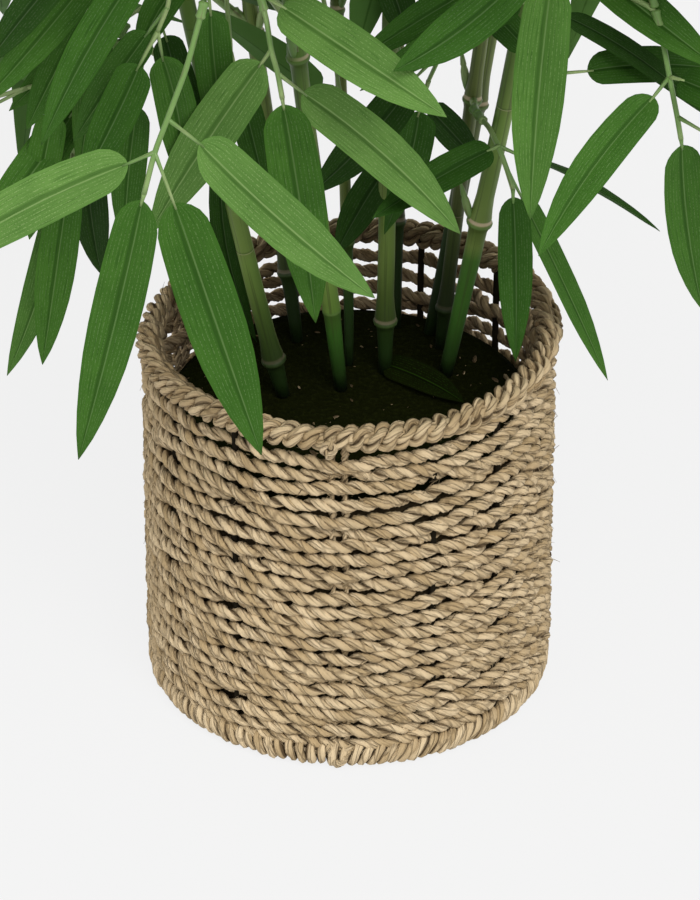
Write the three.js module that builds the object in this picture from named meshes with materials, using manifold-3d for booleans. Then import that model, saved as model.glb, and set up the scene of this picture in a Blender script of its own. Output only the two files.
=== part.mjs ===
// Potted artificial bamboo: nine ringed canes in a round basket of twisted seagrass cord.
// Millimetres, +Z up. The origin is the centre of the basket's flat underside.

import * as THREE from 'three';
import { mergeVertices } from 'three/addons/utils/BufferGeometryUtils.js';
import Module from 'manifold-3d';

const wasm = await Module();
wasm.setup();

// Clearance kept between two pieces that touch on the real plant
const SEAT_GAP = 0.3;

// Basket
const BASKET_HEIGHT = 199;
const ROPE_RADIUS = 6.5;
const RIM_RADIUS = 98.5;
const WALL_OUTER_RADIUS = 101.8;
const WALL_INNER_RADIUS = 92.5;
const BORDER_RADIUS = 103;
const BORDER_HEIGHT = 14;
const BORDER_TUCK = 2.5;
const BORDER_BELLY = [0.35, 0.75];
const FLOOR_THICKNESS = 8;
const BASKET_SEGMENTS = 36;
const ROPE_SIDES = 8;

// Weighted inner pot, filled to a dark flat top
const FILL_TOP = 150;
const FILL_EDGE_DROP = 3;
const FILL_EDGE_WIDTH = 6;

// Canes: foot on the fill, lean as mm sideways per mm of height, extra bow in mm at the tip,
// tip height, radius at the foot, height of the lowest ring above the fill and ring spacing
const CANES = [
  { foot: [-33, 7], lean: [-0.204, -0.1], bow: [38, -10], tip: 853, radius: 5.2, ring: 23, spacing: 132 },
  { foot: [-4, 13], lean: [-0.095, -0.12], bow: [-18, -30], tip: 983, radius: 5.0, ring: 51, spacing: 154 },
  { foot: [0, 36], lean: [-0.01, 0.05], bow: [-40, 60], tip: 783, radius: 3.4, ring: 70, spacing: 125 },
  { foot: [18, 28], lean: [0, -0.04], bow: [40, -70], tip: 1073, radius: 5.0, ring: 32, spacing: 140 },
  { foot: [24, 72], lean: [0, 0.14], bow: [10, -20], tip: 963, radius: 3.8, ring: 58, spacing: 132 },
  { foot: [46, 52], lean: [0.09, 0.01], bow: [50, 30], tip: 903, radius: 4.2, ring: 24, spacing: 119 },
  { foot: [48, 26], lean: [0.18, -0.07], bow: [-46, -30], tip: 993, radius: 5.4, ring: 94, spacing: 138 },
  { foot: [41, 65], lean: [0.185, 0.09], bow: [-62, 6], tip: 1023, radius: 5.2, ring: 128, spacing: 132 },
  { foot: [-26, 58], lean: [-0.13, 0.15], bow: [10, -22], tip: 943, radius: 4.6, ring: 38, spacing: 128 },
];
const CROWN_AXIS = [8, 25];
const CANE_SIDES = 6;
const CANE_TIP_SHARE = 0.42;
const RING_SWELL = 1.24;
const RING_HEIGHT = 4;
const RING_FREE_TIP = 25;

// Boughs: thin branch wires that leave a cane at one of its rings and arch over
const BOUGH_SIDES = 4;
const BOUGH_SPANS = 3;
const BOUGH_ABOVE_RING = 1;
const BOUGH_ROOT_RADIUS = 2.4;
const BOUGH_TIP_RADIUS = 1.7;
const BOUGH_DROOP = 17;
const BOUGH_LENGTH = 58;
const BOUGH_ELEVATION = 52;
const RULED_BOUGHS = 13;
const RULED_BOUGH_LOWEST = 400;
const RULED_BOUGH_HIGHEST = 880;
const GOLDEN_ANGLE = 137.5;

// Stem of a mass: spans, length, and droop and elevation in degrees
const TWIG_SIDES = 3;
const STEM_SPANS = 3;
const STEM_LENGTH = 84;
const STEM_DROOP = 15;
const STEM_RADIUS = 1.9;
const TIP_STEM_ELEVATION = 74;
const STEM_ELEVATION = 18;
const LOW_STEM_ELEVATION = 6;

// Side twigs, alternately left and right of the stem, with a random part to each turn and lift
const TWIG_RADIUS = 1.6;
const TWIG_TAPER = 0.8;
const TWIG_SHORT = 36;
const TWIG_LONG = 56;
const TWIG_SINK = 0.06;
const TWIG_TURN = { side: 58, sideRange: 24, tipRange: 20 };
const TWIG_LIFT_RANGE = 22;
const TWIG_DROOP = 8;

// Leaves of a side twig, as a share of its length, a turn from its heading and a droop below it,
// and the leaf that springs from the stem beside each twig
const TWIG_LEAVES = [
  { share: 0.42, turn: 56, droop: 28 },
  { share: 0.7, turn: -54, droop: 28 },
  { share: 0.98, turn: 6, droop: 34 },
];
const STEM_LEAF = { turn: -0.8, droop: 25, seed: 9 };

// One leaf; each new try for a free place turns and tilts it further at random
const STALK_LENGTH = 18;
const LEAF_LONG = 142;
const LEAF_SHORT = 98;
const LEAF_SLENDERNESS = 5.5;
const LEAF_THICKNESS = 1.8;
const LEAF_EDGE_LIFT = 0.3;
const LEAF_SAG = 0.09;
const LEAF_WIDEST = 0.21;
const LEAF_STEP = 0.05;
const LEAF_ROOM = { shoulder: 0.22, narrowing: 0.6, blade: 0.46, tip: 0.62, stalk: 2 };
const FACE_ELEVATION = 41;
const FACE_TURN = 110;
const LEAF_TRIES = 8;
const LEAF_TURN = { range: 30, more: 22 };
const LEAF_TILT = { range: 24, more: 16 };
const STEEPEST_LEAF = -82;
const LEAF_SPACING = 18;
const LEAF_AXIS_START = 0.3;
const CLEARANCE = 1.5;

// Lowest height that foliage may hang to, higher towards the front and lower on the left
const CROWN_FLOOR = 295;
const CROWN_FLOOR_FRONT_RISE = 0.62;
const CROWN_FLOOR_LEFT = { from: -60, width: 100, drop: 95 };

// Seeds of each group of masses, and the twigs that fill out the front sprays
const SEEDS = { frontTwig: 400, frontSideTwig: 402, leftBack: 300, ruled: 100, caneTip: 203 };
const FRONT_TWIG = { turn: 30, elevation: 20 };
const FRONT_SIDE_TWIG = { share: 0.5, turn: -70, elevation: 10 };

// Boughs in the front of the crown: cane and ring counted from 0, heading and length
const FRONT_BOUGHS = {
  leftFront: { cane: 0, ring: 2, azimuth: -78, elevation: 38, droop: 20, length: 112 },
  middleFront: { cane: 1, ring: 1, azimuth: -112, elevation: 62, droop: 16, length: 104 },
  rightFront: { cane: 6, ring: 1, azimuth: -62, elevation: 40, droop: 16, length: 88 },
  farFront: { cane: 3, ring: 2, azimuth: -58, elevation: 26, droop: 14, length: 122 },
  leftLow: { cane: 0, ring: 1, azimuth: 204, elevation: 72, droop: 14, length: 74 },
  leftBack: { cane: 8, ring: 1, azimuth: 176, elevation: 42, droop: 14, length: 96 },
};

// Sprays that hang in front of the basket, as the corners of the twig's path and the leaves'
// tips; each leaf springs from a corner, counted from 0, and blade is its width
const FRONT_SPRAYS = [
  {
    bough: 'leftFront',
    path: [[-65, -146, 457], [-73, -156, 429], [-82, -163, 406], [-88, -167, 391], [-93, -170, 371]],
    leaves: [
      { corner: 2, tip: [12, -125, 287], blade: 25 },
      { corner: 3, tip: [-205, -135, 303], blade: 26 },
      { corner: 3, tip: [-41, -165, 225], blade: 26 },
      { corner: 4, tip: [-127, -158, 218], blade: 27 },
    ],
  },
  {
    bough: 'middleFront',
    path: [[-41, -86, 428], [-38, -92, 417], [-36, -96, 404], [-33, -98, 393], [-31, -100, 381]],
    leaves: [
      { corner: 1, tip: [44, -165, 408], blade: 25 },
      { corner: 2, tip: [-95, -70, 289], blade: 25 },
      { corner: 3, tip: [53, -60, 283], blade: 25 },
      { corner: 4, tip: [-16, -78, 244], blade: 24 },
    ],
  },
  {
    bough: 'rightFront',
    path: [[142, -70, 411], [146, -76, 396], [149, -80, 381], [153, -84, 362], [155, -86, 351]],
    leaves: [
      { corner: 2, tip: [88, -128, 312], blade: 21 },
      { corner: 2, tip: [206, -150, 395], blade: 21 },
      { corner: 3, tip: [236, -120, 319], blade: 21 },
      { corner: 4, tip: [170, -60, 240], blade: 21 },
    ],
  },
  {
    bough: 'farFront',
    path: [[96, -108, 477], [94, -113, 465], [92, -116, 456]],
    leaves: [
      { corner: 2, tip: [85, -96, 312], blade: 27 },
      { corner: 1, tip: [20, -150, 423], blade: 25 },
    ],
  },
  {
    bough: 'leftLow',
    path: [[-109, -34, 375], [-119, -42, 356], [-126, -48, 338], [-131, -52, 324]],
    leaves: [
      { corner: 1, tip: [-179, -90, 292], blade: 23 },
      { corner: 2, tip: [-167, -40, 190], blade: 20 },
      { corner: 3, tip: [-148, -66, 213], blade: 21 },
      { corner: 2, tip: [-121, -12, 231], blade: 20 },
    ],
  },
  {
    ring: { cane: 5, ring: 1 },
    path: [[63, 22, 302], [68, 6, 304], [72, -6, 301], [76, -14, 293], [79, -20, 285]],
    leaves: [
      { corner: 2, tip: [11, -66, 296], blade: 19 },
      { corner: 2, tip: [153, 20, 237], blade: 15 },
      { corner: 3, tip: [128, -6, 166], blade: 17 },
      { corner: 4, tip: [81, -42, 200], blade: 17 },
    ],
  },
];

const COLORS = {
  seagrass: 0xb09a72,
  rope: 0xb8a27a,
  soil: 0x15170b,
  cane: 0x76854c,
  bough: 0x6f8f4a,
  leaf: 0x3f7a2c,
};

const finishes = Object.fromEntries(
  Object.entries(COLORS).map(([name, color]) => [
    name,
    new THREE.MeshStandardMaterial({ color, roughness: 0.7, metalness: 0 }),
  ]),
);

const UPWARD = new THREE.Vector3(0, 0, 1);
// No limb runs along this axis, which settles where the corners of each section lie
const SECTION_AXIS = new THREE.Vector3(0.31, 0.95, 0.05);
const MERGE_DISTANCE = 1e-3;
const NEARLY_PARALLEL = 1e-6;
const vector = (point) => new THREE.Vector3(...point);
const radians = THREE.MathUtils.degToRad;
const degrees = THREE.MathUtils.radToDeg;
const clampShare = (value) => THREE.MathUtils.clamp(value, 0, 1);

// A seeded sequence of numbers from 0 to 1
function makeDice(...seeds) {
  let state = seeds.reduce((sum, seed) => (sum * 7919 + seed + 11) % 2147483647, 1);
  const roll = () => {
    state = (state * 16807) % 2147483647;
    return state / 2147483647;
  };
  roll();
  roll();
  return roll;
}

function heading(azimuth, elevation) {
  const a = radians(azimuth);
  const e = radians(elevation);
  return new THREE.Vector3(Math.cos(e) * Math.cos(a), Math.cos(e) * Math.sin(a), Math.sin(e));
}

// Points of a branch that sets off at a heading and bends down a little at each span
function branchPoints(start, azimuth, elevation, droop, length, spans) {
  const points = [start.clone()];
  for (let i = 0; i < spans; i += 1) {
    const step = heading(azimuth, elevation - droop * i).multiplyScalar(length / spans);
    points.push(points[i].clone().add(step));
  }
  return points;
}

// Closed surface through rings of equal size, flat at both ends; a ring of one point is a tip
function loft(rings) {
  const sides = rings[0].length;
  const positions = rings.flat().flatMap((point) => point.toArray());
  const last = rings.length - 1;
  const faces = [];
  for (let k = 0; k < last; k += 1) {
    for (let i = 0; i < sides; i += 1) {
      const next = (i + 1) % sides;
      const near = k * sides;
      const far = near + sides;
      if (rings[k + 1].length === 1) {
        faces.push(near + i, near + next, far);
      } else {
        faces.push(near + i, near + next, far + next);
        faces.push(near + i, far + next, far + i);
      }
    }
  }
  for (let i = 1; i < sides - 1; i += 1) {
    faces.push(0, i + 1, i);
    if (rings[last].length > 1) {
      faces.push(last * sides, last * sides + i, last * sides + i + 1);
    }
  }
  const geometry = new THREE.BufferGeometry();
  geometry.setAttribute('position', new THREE.Float32BufferAttribute(positions, 3));
  geometry.setIndex(faces);
  return geometry;
}

// Corners of a regular section round a point, square to a direction
function sectionAt(point, along, radius, sides) {
  const across = SECTION_AXIS.clone().cross(along).normalize();
  const up = along.clone().cross(across);
  return Array.from({ length: sides }, (_, i) => {
    const angle = (2 * Math.PI * i) / sides;
    return point.clone()
      .addScaledVector(across, radius * Math.cos(angle))
      .addScaledVector(up, radius * Math.sin(angle));
  });
}

// Many-sided limb along a row of points, with a radius at each point; its sections are square
// to its path, or to a given direction
function limbGeometry(points, radii, sides, direction = null) {
  return loft(points.map((point, k) => {
    const before = points[Math.max(k - 1, 0)];
    const after = points[Math.min(k + 1, points.length - 1)];
    const along = direction ?? after.clone().sub(before).normalize();
    return sectionAt(point, along, radii[k], sides);
  }));
}

// Radii that taper evenly over a number of points
function taper(rootRadius, tipRadius, count) {
  return Array.from({ length: count }, (_, k) => (
    rootRadius + ((tipRadius - rootRadius) * k) / (count - 1)
  ));
}

// Closed solid of revolution about Z from [radius, height] pairs
function turned(profile) {
  const points = profile.map(([radius, height]) => new THREE.Vector2(radius, height));
  return new THREE.LatheGeometry(points, BASKET_SEGMENTS).rotateX(Math.PI / 2);
}

function toSolid(geometry) {
  const bare = geometry.clone();
  bare.deleteAttribute('normal');
  bare.deleteAttribute('uv');
  const merged = mergeVertices(bare, MERGE_DISTANCE);
  const corners = merged.index.array;
  const kept = [];
  for (let i = 0; i < corners.length; i += 3) {
    const [a, b, c] = corners.subarray(i, i + 3);
    if (a !== b && b !== c && c !== a) {
      kept.push(a, b, c);
    }
  }
  return new wasm.Manifold(new wasm.Mesh({
    numProp: 3,
    vertProperties: new Float32Array(merged.attributes.position.array),
    triVerts: new Uint32Array(kept),
  }));
}

// The largest body of a solid: scraps and sealed hollows are left out
function largestBody(solid) {
  const bodies = solid.decompose();
  return bodies.reduce((best, body) => (body.volume() > best.volume() ? body : best));
}

function toGeometry(solid) {
  const mesh = solid.getMesh();
  const geometry = new THREE.BufferGeometry();
  geometry.setAttribute('position', new THREE.BufferAttribute(mesh.vertProperties, 3));
  geometry.setIndex(new THREE.BufferAttribute(mesh.triVerts, 1));
  geometry.computeVertexNormals();
  return geometry;
}

const group = new THREE.Group();

function addNode(name, solid, finish) {
  const mesh = new THREE.Mesh(toGeometry(solid), finish);
  mesh.name = name;
  group.add(mesh);
}

const numbered = (word, index) => `${word}_${String(index + 1).padStart(2, '0')}`;

// Capsules round everything grown so far: { a, b, radius, owner }
const grown = [];

// Shortest distance between the segments a1-b1 and a2-b2
function segmentDistance(a1, b1, a2, b2) {
  const d1 = b1.clone().sub(a1);
  const d2 = b2.clone().sub(a2);
  const between = a1.clone().sub(a2);
  const a = d1.lengthSq();
  const e = d2.lengthSq();
  const b = d1.dot(d2);
  const c = d1.dot(between);
  const f = d2.dot(between);
  const spread = a * e - b * b;
  let s = spread > NEARLY_PARALLEL ? clampShare((b * f - c * e) / spread) : 0;
  const t = clampShare((b * s + f) / e);
  s = clampShare((b * t - c) / a);
  return between.addScaledVector(d1, s).addScaledVector(d2, -t).length();
}

function isClear(capsules, owner) {
  return capsules.every((own) => grown.every((other) => {
    if (other.owner === owner) {
      return true;
    }
    const room = own.radius + other.radius + CLEARANCE;
    return segmentDistance(own.a, own.b, other.a, other.b) > room;
  }));
}

function capsulesAlong(points, radius, owner) {
  return points.slice(1).map((b, i) => ({ a: points[i], b, radius, owner }));
}

function crownFloor(point) {
  const front = CROWN_FLOOR_FRONT_RISE * Math.max(0, -point.y);
  const left = clampShare((CROWN_FLOOR_LEFT.from - point.x) / CROWN_FLOOR_LEFT.width);
  return CROWN_FLOOR + front - CROWN_FLOOR_LEFT.drop * left;
}

// Leaf: a stalk that widens into a long blade, on a midrib that sags below its span; its face
// looks up and outwards, turned by an angle
function makeLeaf(base, span, width, faceTurn) {
  const length = span.length();
  const outward = degrees(Math.atan2(base.y, base.x));
  const side = heading(outward + faceTurn, FACE_ELEVATION).cross(span).normalize();
  const midrib = (t) => base.clone()
    .addScaledVector(span, t)
    .addScaledVector(UPWARD, -LEAF_SAG * length * t * t);
  return { midrib, side, length, width };
}

// A leaf whose tip reaches a given point, to within a millimetre
function leafTo(base, tip, width) {
  const span = tip.clone().sub(base);
  span.addScaledVector(UPWARD, LEAF_SAG * span.length());
  return makeLeaf(base, span, width, 0);
}

// Three-sided sections at the foot of the stalk and where the blade is widest, with their two
// edges lifted above the keel, and a point at the tip
function leafGeometry(leaf) {
  const widest = LEAF_WIDEST + STALK_LENGTH / leaf.length;
  const sections = [
    { t: 0, half: 0.55, keel: 0.9 },
    { t: widest, half: leaf.width / 2, keel: LEAF_THICKNESS },
  ].map(({ t, half, keel }) => {
    const centre = leaf.midrib(t);
    const along = leaf.midrib(t + LEAF_STEP).sub(leaf.midrib(t - LEAF_STEP)).normalize();
    const normal = along.cross(leaf.side).normalize();
    return [[half, LEAF_EDGE_LIFT], [-half, LEAF_EDGE_LIFT], [0, LEAF_EDGE_LIFT - keel]].map(
      ([across, up]) => centre.clone().addScaledVector(leaf.side, across).addScaledVector(normal, up),
    );
  });
  return loft([...sections, [leaf.midrib(1)]]);
}

// Room that a leaf takes: its stalk, the broad part of its blade and the tapering part
function leafCapsules(leaf, owner) {
  const radius = leaf.width * LEAF_ROOM.blade;
  return [
    { a: leaf.midrib(LEAF_ROOM.shoulder), b: leaf.midrib(LEAF_ROOM.narrowing), radius, owner },
    { a: leaf.midrib(LEAF_ROOM.narrowing), b: leaf.midrib(1), radius: radius * LEAF_ROOM.tip, owner },
    { a: leaf.midrib(0), b: leaf.midrib(LEAF_ROOM.shoulder), radius: LEAF_ROOM.stalk, owner },
  ];
}

// One mass of foliage: solids of its stem, twigs and leaves, fused when it is complete
class Mass {
  constructor(owner) {
    this.owner = owner;
    this.solids = [];
    this.leafAxes = [];
  }

  addLimb(points, rootRadius, tipRadius) {
    const radii = taper(rootRadius, tipRadius, points.length);
    this.solids.push(toSolid(limbGeometry(points, radii, TWIG_SIDES)));
    grown.push(...capsulesAlong(points, rootRadius, this.owner));
  }

  // True where a leaf would lie along one that this mass already has
  crowdsOwn(leaf) {
    const a = leaf.midrib(LEAF_AXIS_START);
    const b = leaf.midrib(1);
    return this.leafAxes.some((other) => segmentDistance(a, b, other.a, other.b) < LEAF_SPACING);
  }

  addLeaf(leaf) {
    this.solids.push(toSolid(leafGeometry(leaf)));
    grown.push(...leafCapsules(leaf, this.owner));
    this.leafAxes.push({ a: leaf.midrib(LEAF_AXIS_START), b: leaf.midrib(1) });
  }

  // Tries a few headings for one leaf and keeps the first that has room
  growLeaf(base, azimuth, elevation, seeds) {
    for (let attempt = 0; attempt < LEAF_TRIES; attempt += 1) {
      const roll = makeDice(...seeds, attempt);
      const blade = LEAF_SHORT + (LEAF_LONG - LEAF_SHORT) * roll();
      const turn = (roll() - 0.5) * (LEAF_TURN.range + LEAF_TURN.more * attempt);
      const tilt = (roll() - 0.5) * (LEAF_TILT.range + LEAF_TILT.more * attempt);
      const faceTurn = (roll() - 0.5) * FACE_TURN;
      const direction = heading(azimuth + turn, Math.max(elevation + tilt, STEEPEST_LEAF));
      const span = direction.multiplyScalar(blade + STALK_LENGTH);
      const leaf = makeLeaf(base, span, blade / LEAF_SLENDERNESS, faceTurn);
      const tip = leaf.midrib(1);
      const low = tip.z < crownFloor(tip);
      if (!low && !this.crowdsOwn(leaf) && isClear(leafCapsules(leaf, this.owner), this.owner)) {
        this.addLeaf(leaf);
        return;
      }
    }
  }

  // A side twig with alternate leaves and one at its tip
  growTwig(start, azimuth, elevation, seeds) {
    const roll = makeDice(...seeds);
    const length = TWIG_SHORT + (TWIG_LONG - TWIG_SHORT) * roll();
    const twig = branchPoints(start, azimuth, elevation - TWIG_DROOP, 0, length, 1);
    const tip = twig[1];
    if (tip.z < crownFloor(tip) || !isClear(capsulesAlong(twig, TWIG_RADIUS, this.owner), this.owner)) {
      return;
    }
    this.addLimb(twig, TWIG_RADIUS, TWIG_RADIUS * TWIG_TAPER);
    TWIG_LEAVES.forEach(({ share, turn, droop }, i) => {
      this.growLeaf(start.clone().lerp(tip, share), azimuth + turn, elevation - droop, [...seeds, i + 1]);
    });
  }

  // Twigs to both sides of a stem, in turn, and one at its tip
  growTwigs(stem, firstJoint, azimuth, elevation, seeds) {
    for (let joint = firstJoint; joint < stem.length; joint += 1) {
      const roll = makeDice(...seeds, joint);
      const atTip = joint === stem.length - 1;
      const hand = joint % 2 === 0 ? 1 : -1;
      const spread = atTip
        ? TWIG_TURN.tipRange * (roll() - 0.5)
        : hand * (TWIG_TURN.side + TWIG_TURN.sideRange * (roll() - 0.5));
      const lift = elevation - STEM_DROOP * joint + TWIG_LIFT_RANGE * (roll() - 0.5);
      const root = stem[joint].clone().lerp(stem[joint - 1], TWIG_SINK);
      this.growTwig(root, azimuth + spread, lift, [...seeds, joint]);
      if (!atTip) {
        const turned = azimuth + STEM_LEAF.turn * spread;
        this.growLeaf(root, turned, lift - STEM_LEAF.droop, [...seeds, joint, STEM_LEAF.seed]);
      }
    }
  }

  fused() {
    return largestBody(this.solids.reduce((sum, solid) => sum.add(solid)));
  }
}

// Point on a cane's centre line
function canePoint(cane, z) {
  const rise = z - FILL_TOP;
  const share = rise / (cane.tip - FILL_TOP);
  return new THREE.Vector3(
    cane.foot[0] + cane.lean[0] * rise + cane.bow[0] * share * share,
    cane.foot[1] + cane.lean[1] * rise + cane.bow[1] * share * share,
    z,
  );
}

function caneRadius(cane, z) {
  const share = (z - FILL_TOP) / (cane.tip - FILL_TOP);
  return cane.radius * (1 - (1 - CANE_TIP_SHARE) * share * share);
}

function caneRings(cane) {
  const heights = [];
  for (let z = FILL_TOP + cane.ring; z < cane.tip - RING_FREE_TIP; z += cane.spacing) {
    heights.push(z);
  }
  return heights;
}

// Rings of the cane's surface, swollen at each joint of the bamboo, grown by an offset
function caneGeometry(cane, offset) {
  const stations = [[FILL_TOP + SEAT_GAP, 1]];
  for (const z of caneRings(cane)) {
    stations.push([z, RING_SWELL], [z + RING_HEIGHT, 1]);
  }
  stations.push([cane.tip, 1]);
  const points = stations.map(([z]) => canePoint(cane, z));
  const radii = stations.map(([z, swell]) => caneRadius(cane, z) * swell + offset);
  return limbGeometry(points, radii, CANE_SIDES, UPWARD);
}

function addBasket() {
  const wallTop = BASKET_HEIGHT - 2 * ROPE_RADIUS - SEAT_GAP;
  const wall = turned([
    [0, 0],
    [BORDER_RADIUS - BORDER_TUCK, 0],
    ...BORDER_BELLY.map((share) => [BORDER_RADIUS, BORDER_HEIGHT * share]),
    [WALL_OUTER_RADIUS, BORDER_HEIGHT],
    [WALL_OUTER_RADIUS, wallTop],
    [WALL_INNER_RADIUS, wallTop],
    [WALL_INNER_RADIUS, FLOOR_THICKNESS],
    [0, FLOOR_THICKNESS],
  ]);
  addNode('basket_wall', toSolid(wall), finishes.seagrass);

  const ropeHeight = BASKET_HEIGHT - ROPE_RADIUS;
  const reach = ROPE_RADIUS / Math.cos(Math.PI / ROPE_SIDES);
  const rim = Array.from({ length: ROPE_SIDES + 1 }, (_, i) => {
    const angle = (2 * Math.PI * (i + 0.5)) / ROPE_SIDES;
    return [RIM_RADIUS + reach * Math.cos(angle), ropeHeight + reach * Math.sin(angle)];
  });
  addNode('basket_rim', toSolid(turned(rim)), finishes.rope);

  const fill = turned([
    [0, FLOOR_THICKNESS + SEAT_GAP],
    [WALL_INNER_RADIUS - SEAT_GAP, FLOOR_THICKNESS + SEAT_GAP],
    [WALL_INNER_RADIUS - SEAT_GAP, FILL_TOP - FILL_EDGE_DROP],
    [WALL_INNER_RADIUS - FILL_EDGE_WIDTH, FILL_TOP],
    [0, FILL_TOP],
  ]);
  addNode('filled_inner_pot', toSolid(fill), finishes.soil);
}

function addCanes() {
  CANES.forEach((cane, index) => {
    addNode(numbered('cane', index), toSolid(caneGeometry(cane, 0)), finishes.cane);
    const points = [FILL_TOP, ...caneRings(cane), cane.tip].map((z) => canePoint(cane, z));
    grown.push(...capsulesAlong(points, cane.radius * RING_SWELL, numbered('cane', index)));
  });
}

// A bough leaves a cane's ring and arches over; it is given back as the seat of its mass
function addBough(index, { cane: caneIndex, ring, azimuth, elevation, droop, length }) {
  const cane = CANES[caneIndex];
  const root = canePoint(cane, caneRings(cane)[ring] + BOUGH_ABOVE_RING);
  const points = branchPoints(root, azimuth, elevation, droop, length, BOUGH_SPANS);
  const radii = taper(BOUGH_ROOT_RADIUS, BOUGH_TIP_RADIUS, points.length);
  const limb = toSolid(limbGeometry(points, radii, BOUGH_SIDES));
  const sleeve = toSolid(caneGeometry(cane, SEAT_GAP / Math.cos(Math.PI / CANE_SIDES)));
  const name = numbered('bough', index);
  addNode(name, largestBody(limb.subtract(sleeve)), finishes.bough);
  grown.push(...capsulesAlong(points, BOUGH_ROOT_RADIUS, name));
  const [before, tip] = points.slice(-2);
  return { tip, along: tip.clone().sub(before).normalize() };
}

// The seat of a spray that springs straight from a cane's ring, facing its first corner
function ringSeat({ cane: caneIndex, ring }, towards) {
  const cane = CANES[caneIndex];
  const height = caneRings(cane)[ring];
  const centre = canePoint(cane, height);
  const along = towards.clone().sub(centre).normalize();
  return { tip: centre.addScaledVector(along, caneRadius(cane, height) * RING_SWELL), along };
}

// Where a stem starts so that the lowest corner of its tilted foot clears the flat end below it
function seatOn({ tip, along }, direction, radius) {
  const foot = sectionAt(new THREE.Vector3(), direction, radius, TWIG_SIDES);
  const reach = Math.max(...foot.map((corner) => -corner.dot(along)));
  return tip.clone().addScaledVector(along, SEAT_GAP + reach);
}

const outwardAzimuth = (point) => (
  degrees(Math.atan2(point.y - CROWN_AXIS[1], point.x - CROWN_AXIS[0]))
);

// Boughs spread up the crown on a spiral, each from the free ring that lies furthest that way
function ruledBoughs() {
  const taken = new Set(Object.values(FRONT_BOUGHS).map(({ cane, ring }) => `${cane} ${ring}`));
  return Array.from({ length: RULED_BOUGHS }, (_, i) => {
    const share = i / (RULED_BOUGHS - 1);
    const height = RULED_BOUGH_LOWEST + (RULED_BOUGH_HIGHEST - RULED_BOUGH_LOWEST) * share;
    const azimuth = GOLDEN_ANGLE * i;
    const way = heading(azimuth, 0);
    let best = { score: -Infinity };
    CANES.forEach((cane, caneIndex) => caneRings(cane).forEach((z, ring) => {
      const point = canePoint(cane, z);
      const score = point.dot(way) - Math.abs(z - height);
      if (score > best.score && !taken.has(`${caneIndex} ${ring}`)) {
        best = { score, cane: caneIndex, ring };
      }
    }));
    const { cane, ring } = best;
    taken.add(`${cane} ${ring}`);
    return { cane, ring, azimuth, elevation: BOUGH_ELEVATION, droop: BOUGH_DROOP, length: BOUGH_LENGTH };
  });
}

// A whole mass: its stem, then its twigs and leaves
function growMass(mass, seat, azimuth, elevation, seeds) {
  const start = seatOn(seat, heading(azimuth, elevation), STEM_RADIUS);
  const stem = branchPoints(start, azimuth, elevation, STEM_DROOP, STEM_LENGTH, STEM_SPANS);
  mass.addLimb(stem, STEM_RADIUS, TWIG_RADIUS);
  mass.growTwigs(stem, 1, azimuth, elevation, seeds);
}

function growFoliage() {
  const frontBoughs = Object.fromEntries(
    Object.entries(FRONT_BOUGHS).map(([name, bough], index) => [name, addBough(index, bough)]),
  );
  const firstRuled = Object.keys(FRONT_BOUGHS).length;
  const ruled = ruledBoughs().map((bough, i) => ({ seat: addBough(firstRuled + i, bough), bough }));
  const masses = [];
  const newMass = () => {
    const mass = new Mass(numbered('foliage', masses.length));
    masses.push(mass);
    return mass;
  };

  const sprays = FRONT_SPRAYS.map((spray) => {
    const mass = newMass();
    const corners = spray.path.map(vector);
    const seat = spray.bough ? frontBoughs[spray.bough] : ringSeat(spray.ring, corners[0]);
    const start = seatOn(seat, corners[0].clone().sub(seat.tip).normalize(), BOUGH_TIP_RADIUS);
    mass.addLimb([start, ...corners], BOUGH_TIP_RADIUS, TWIG_RADIUS);
    spray.leaves.forEach(({ corner, tip, blade }) => {
      mass.addLeaf(leafTo(corners[corner], vector(tip), blade));
    });
    return { mass, spray, start, corners };
  });

  sprays.filter(({ spray }) => spray.bough).forEach(({ mass, start, corners }, i) => {
    const [joint] = corners;
    const azimuth = degrees(Math.atan2(joint.y - start.y, joint.x - start.x));
    const side = { ...FRONT_SIDE_TWIG, root: start.clone().lerp(joint, FRONT_SIDE_TWIG.share) };
    const seeds = [SEEDS.frontTwig, i];
    mass.growTwigs([start, joint], 1, azimuth + FRONT_TWIG.turn, FRONT_TWIG.elevation, seeds);
    mass.growTwig(side.root, azimuth + side.turn, side.elevation, [SEEDS.frontSideTwig, i]);
  });

  const { azimuth: leftBackAzimuth } = FRONT_BOUGHS.leftBack;
  growMass(newMass(), frontBoughs.leftBack, leftBackAzimuth, LOW_STEM_ELEVATION, [SEEDS.leftBack]);
  ruled.forEach(({ seat, bough }, i) => {
    growMass(newMass(), seat, bough.azimuth, STEM_ELEVATION, [SEEDS.ruled, i]);
  });
  CANES.forEach((cane, i) => {
    const seat = { tip: canePoint(cane, cane.tip), along: UPWARD };
    const seeds = [SEEDS.caneTip, i];
    growMass(newMass(), seat, outwardAzimuth(seat.tip), TIP_STEM_ELEVATION, seeds);
  });
  masses.forEach((mass) => addNode(mass.owner, mass.fused(), finishes.leaf));
}

addBasket();
addCanes();
growFoliage();

export default group;
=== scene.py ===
"""Potted artificial bamboo: ringed canes and drooping sprays of cloth leaves in a basket woven
from twisted seagrass cord. Growth and shapes are worked out in millimetres, +Z up, with the
origin at the centre of the basket's underside, and go into their meshes in metres."""

import math

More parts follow.
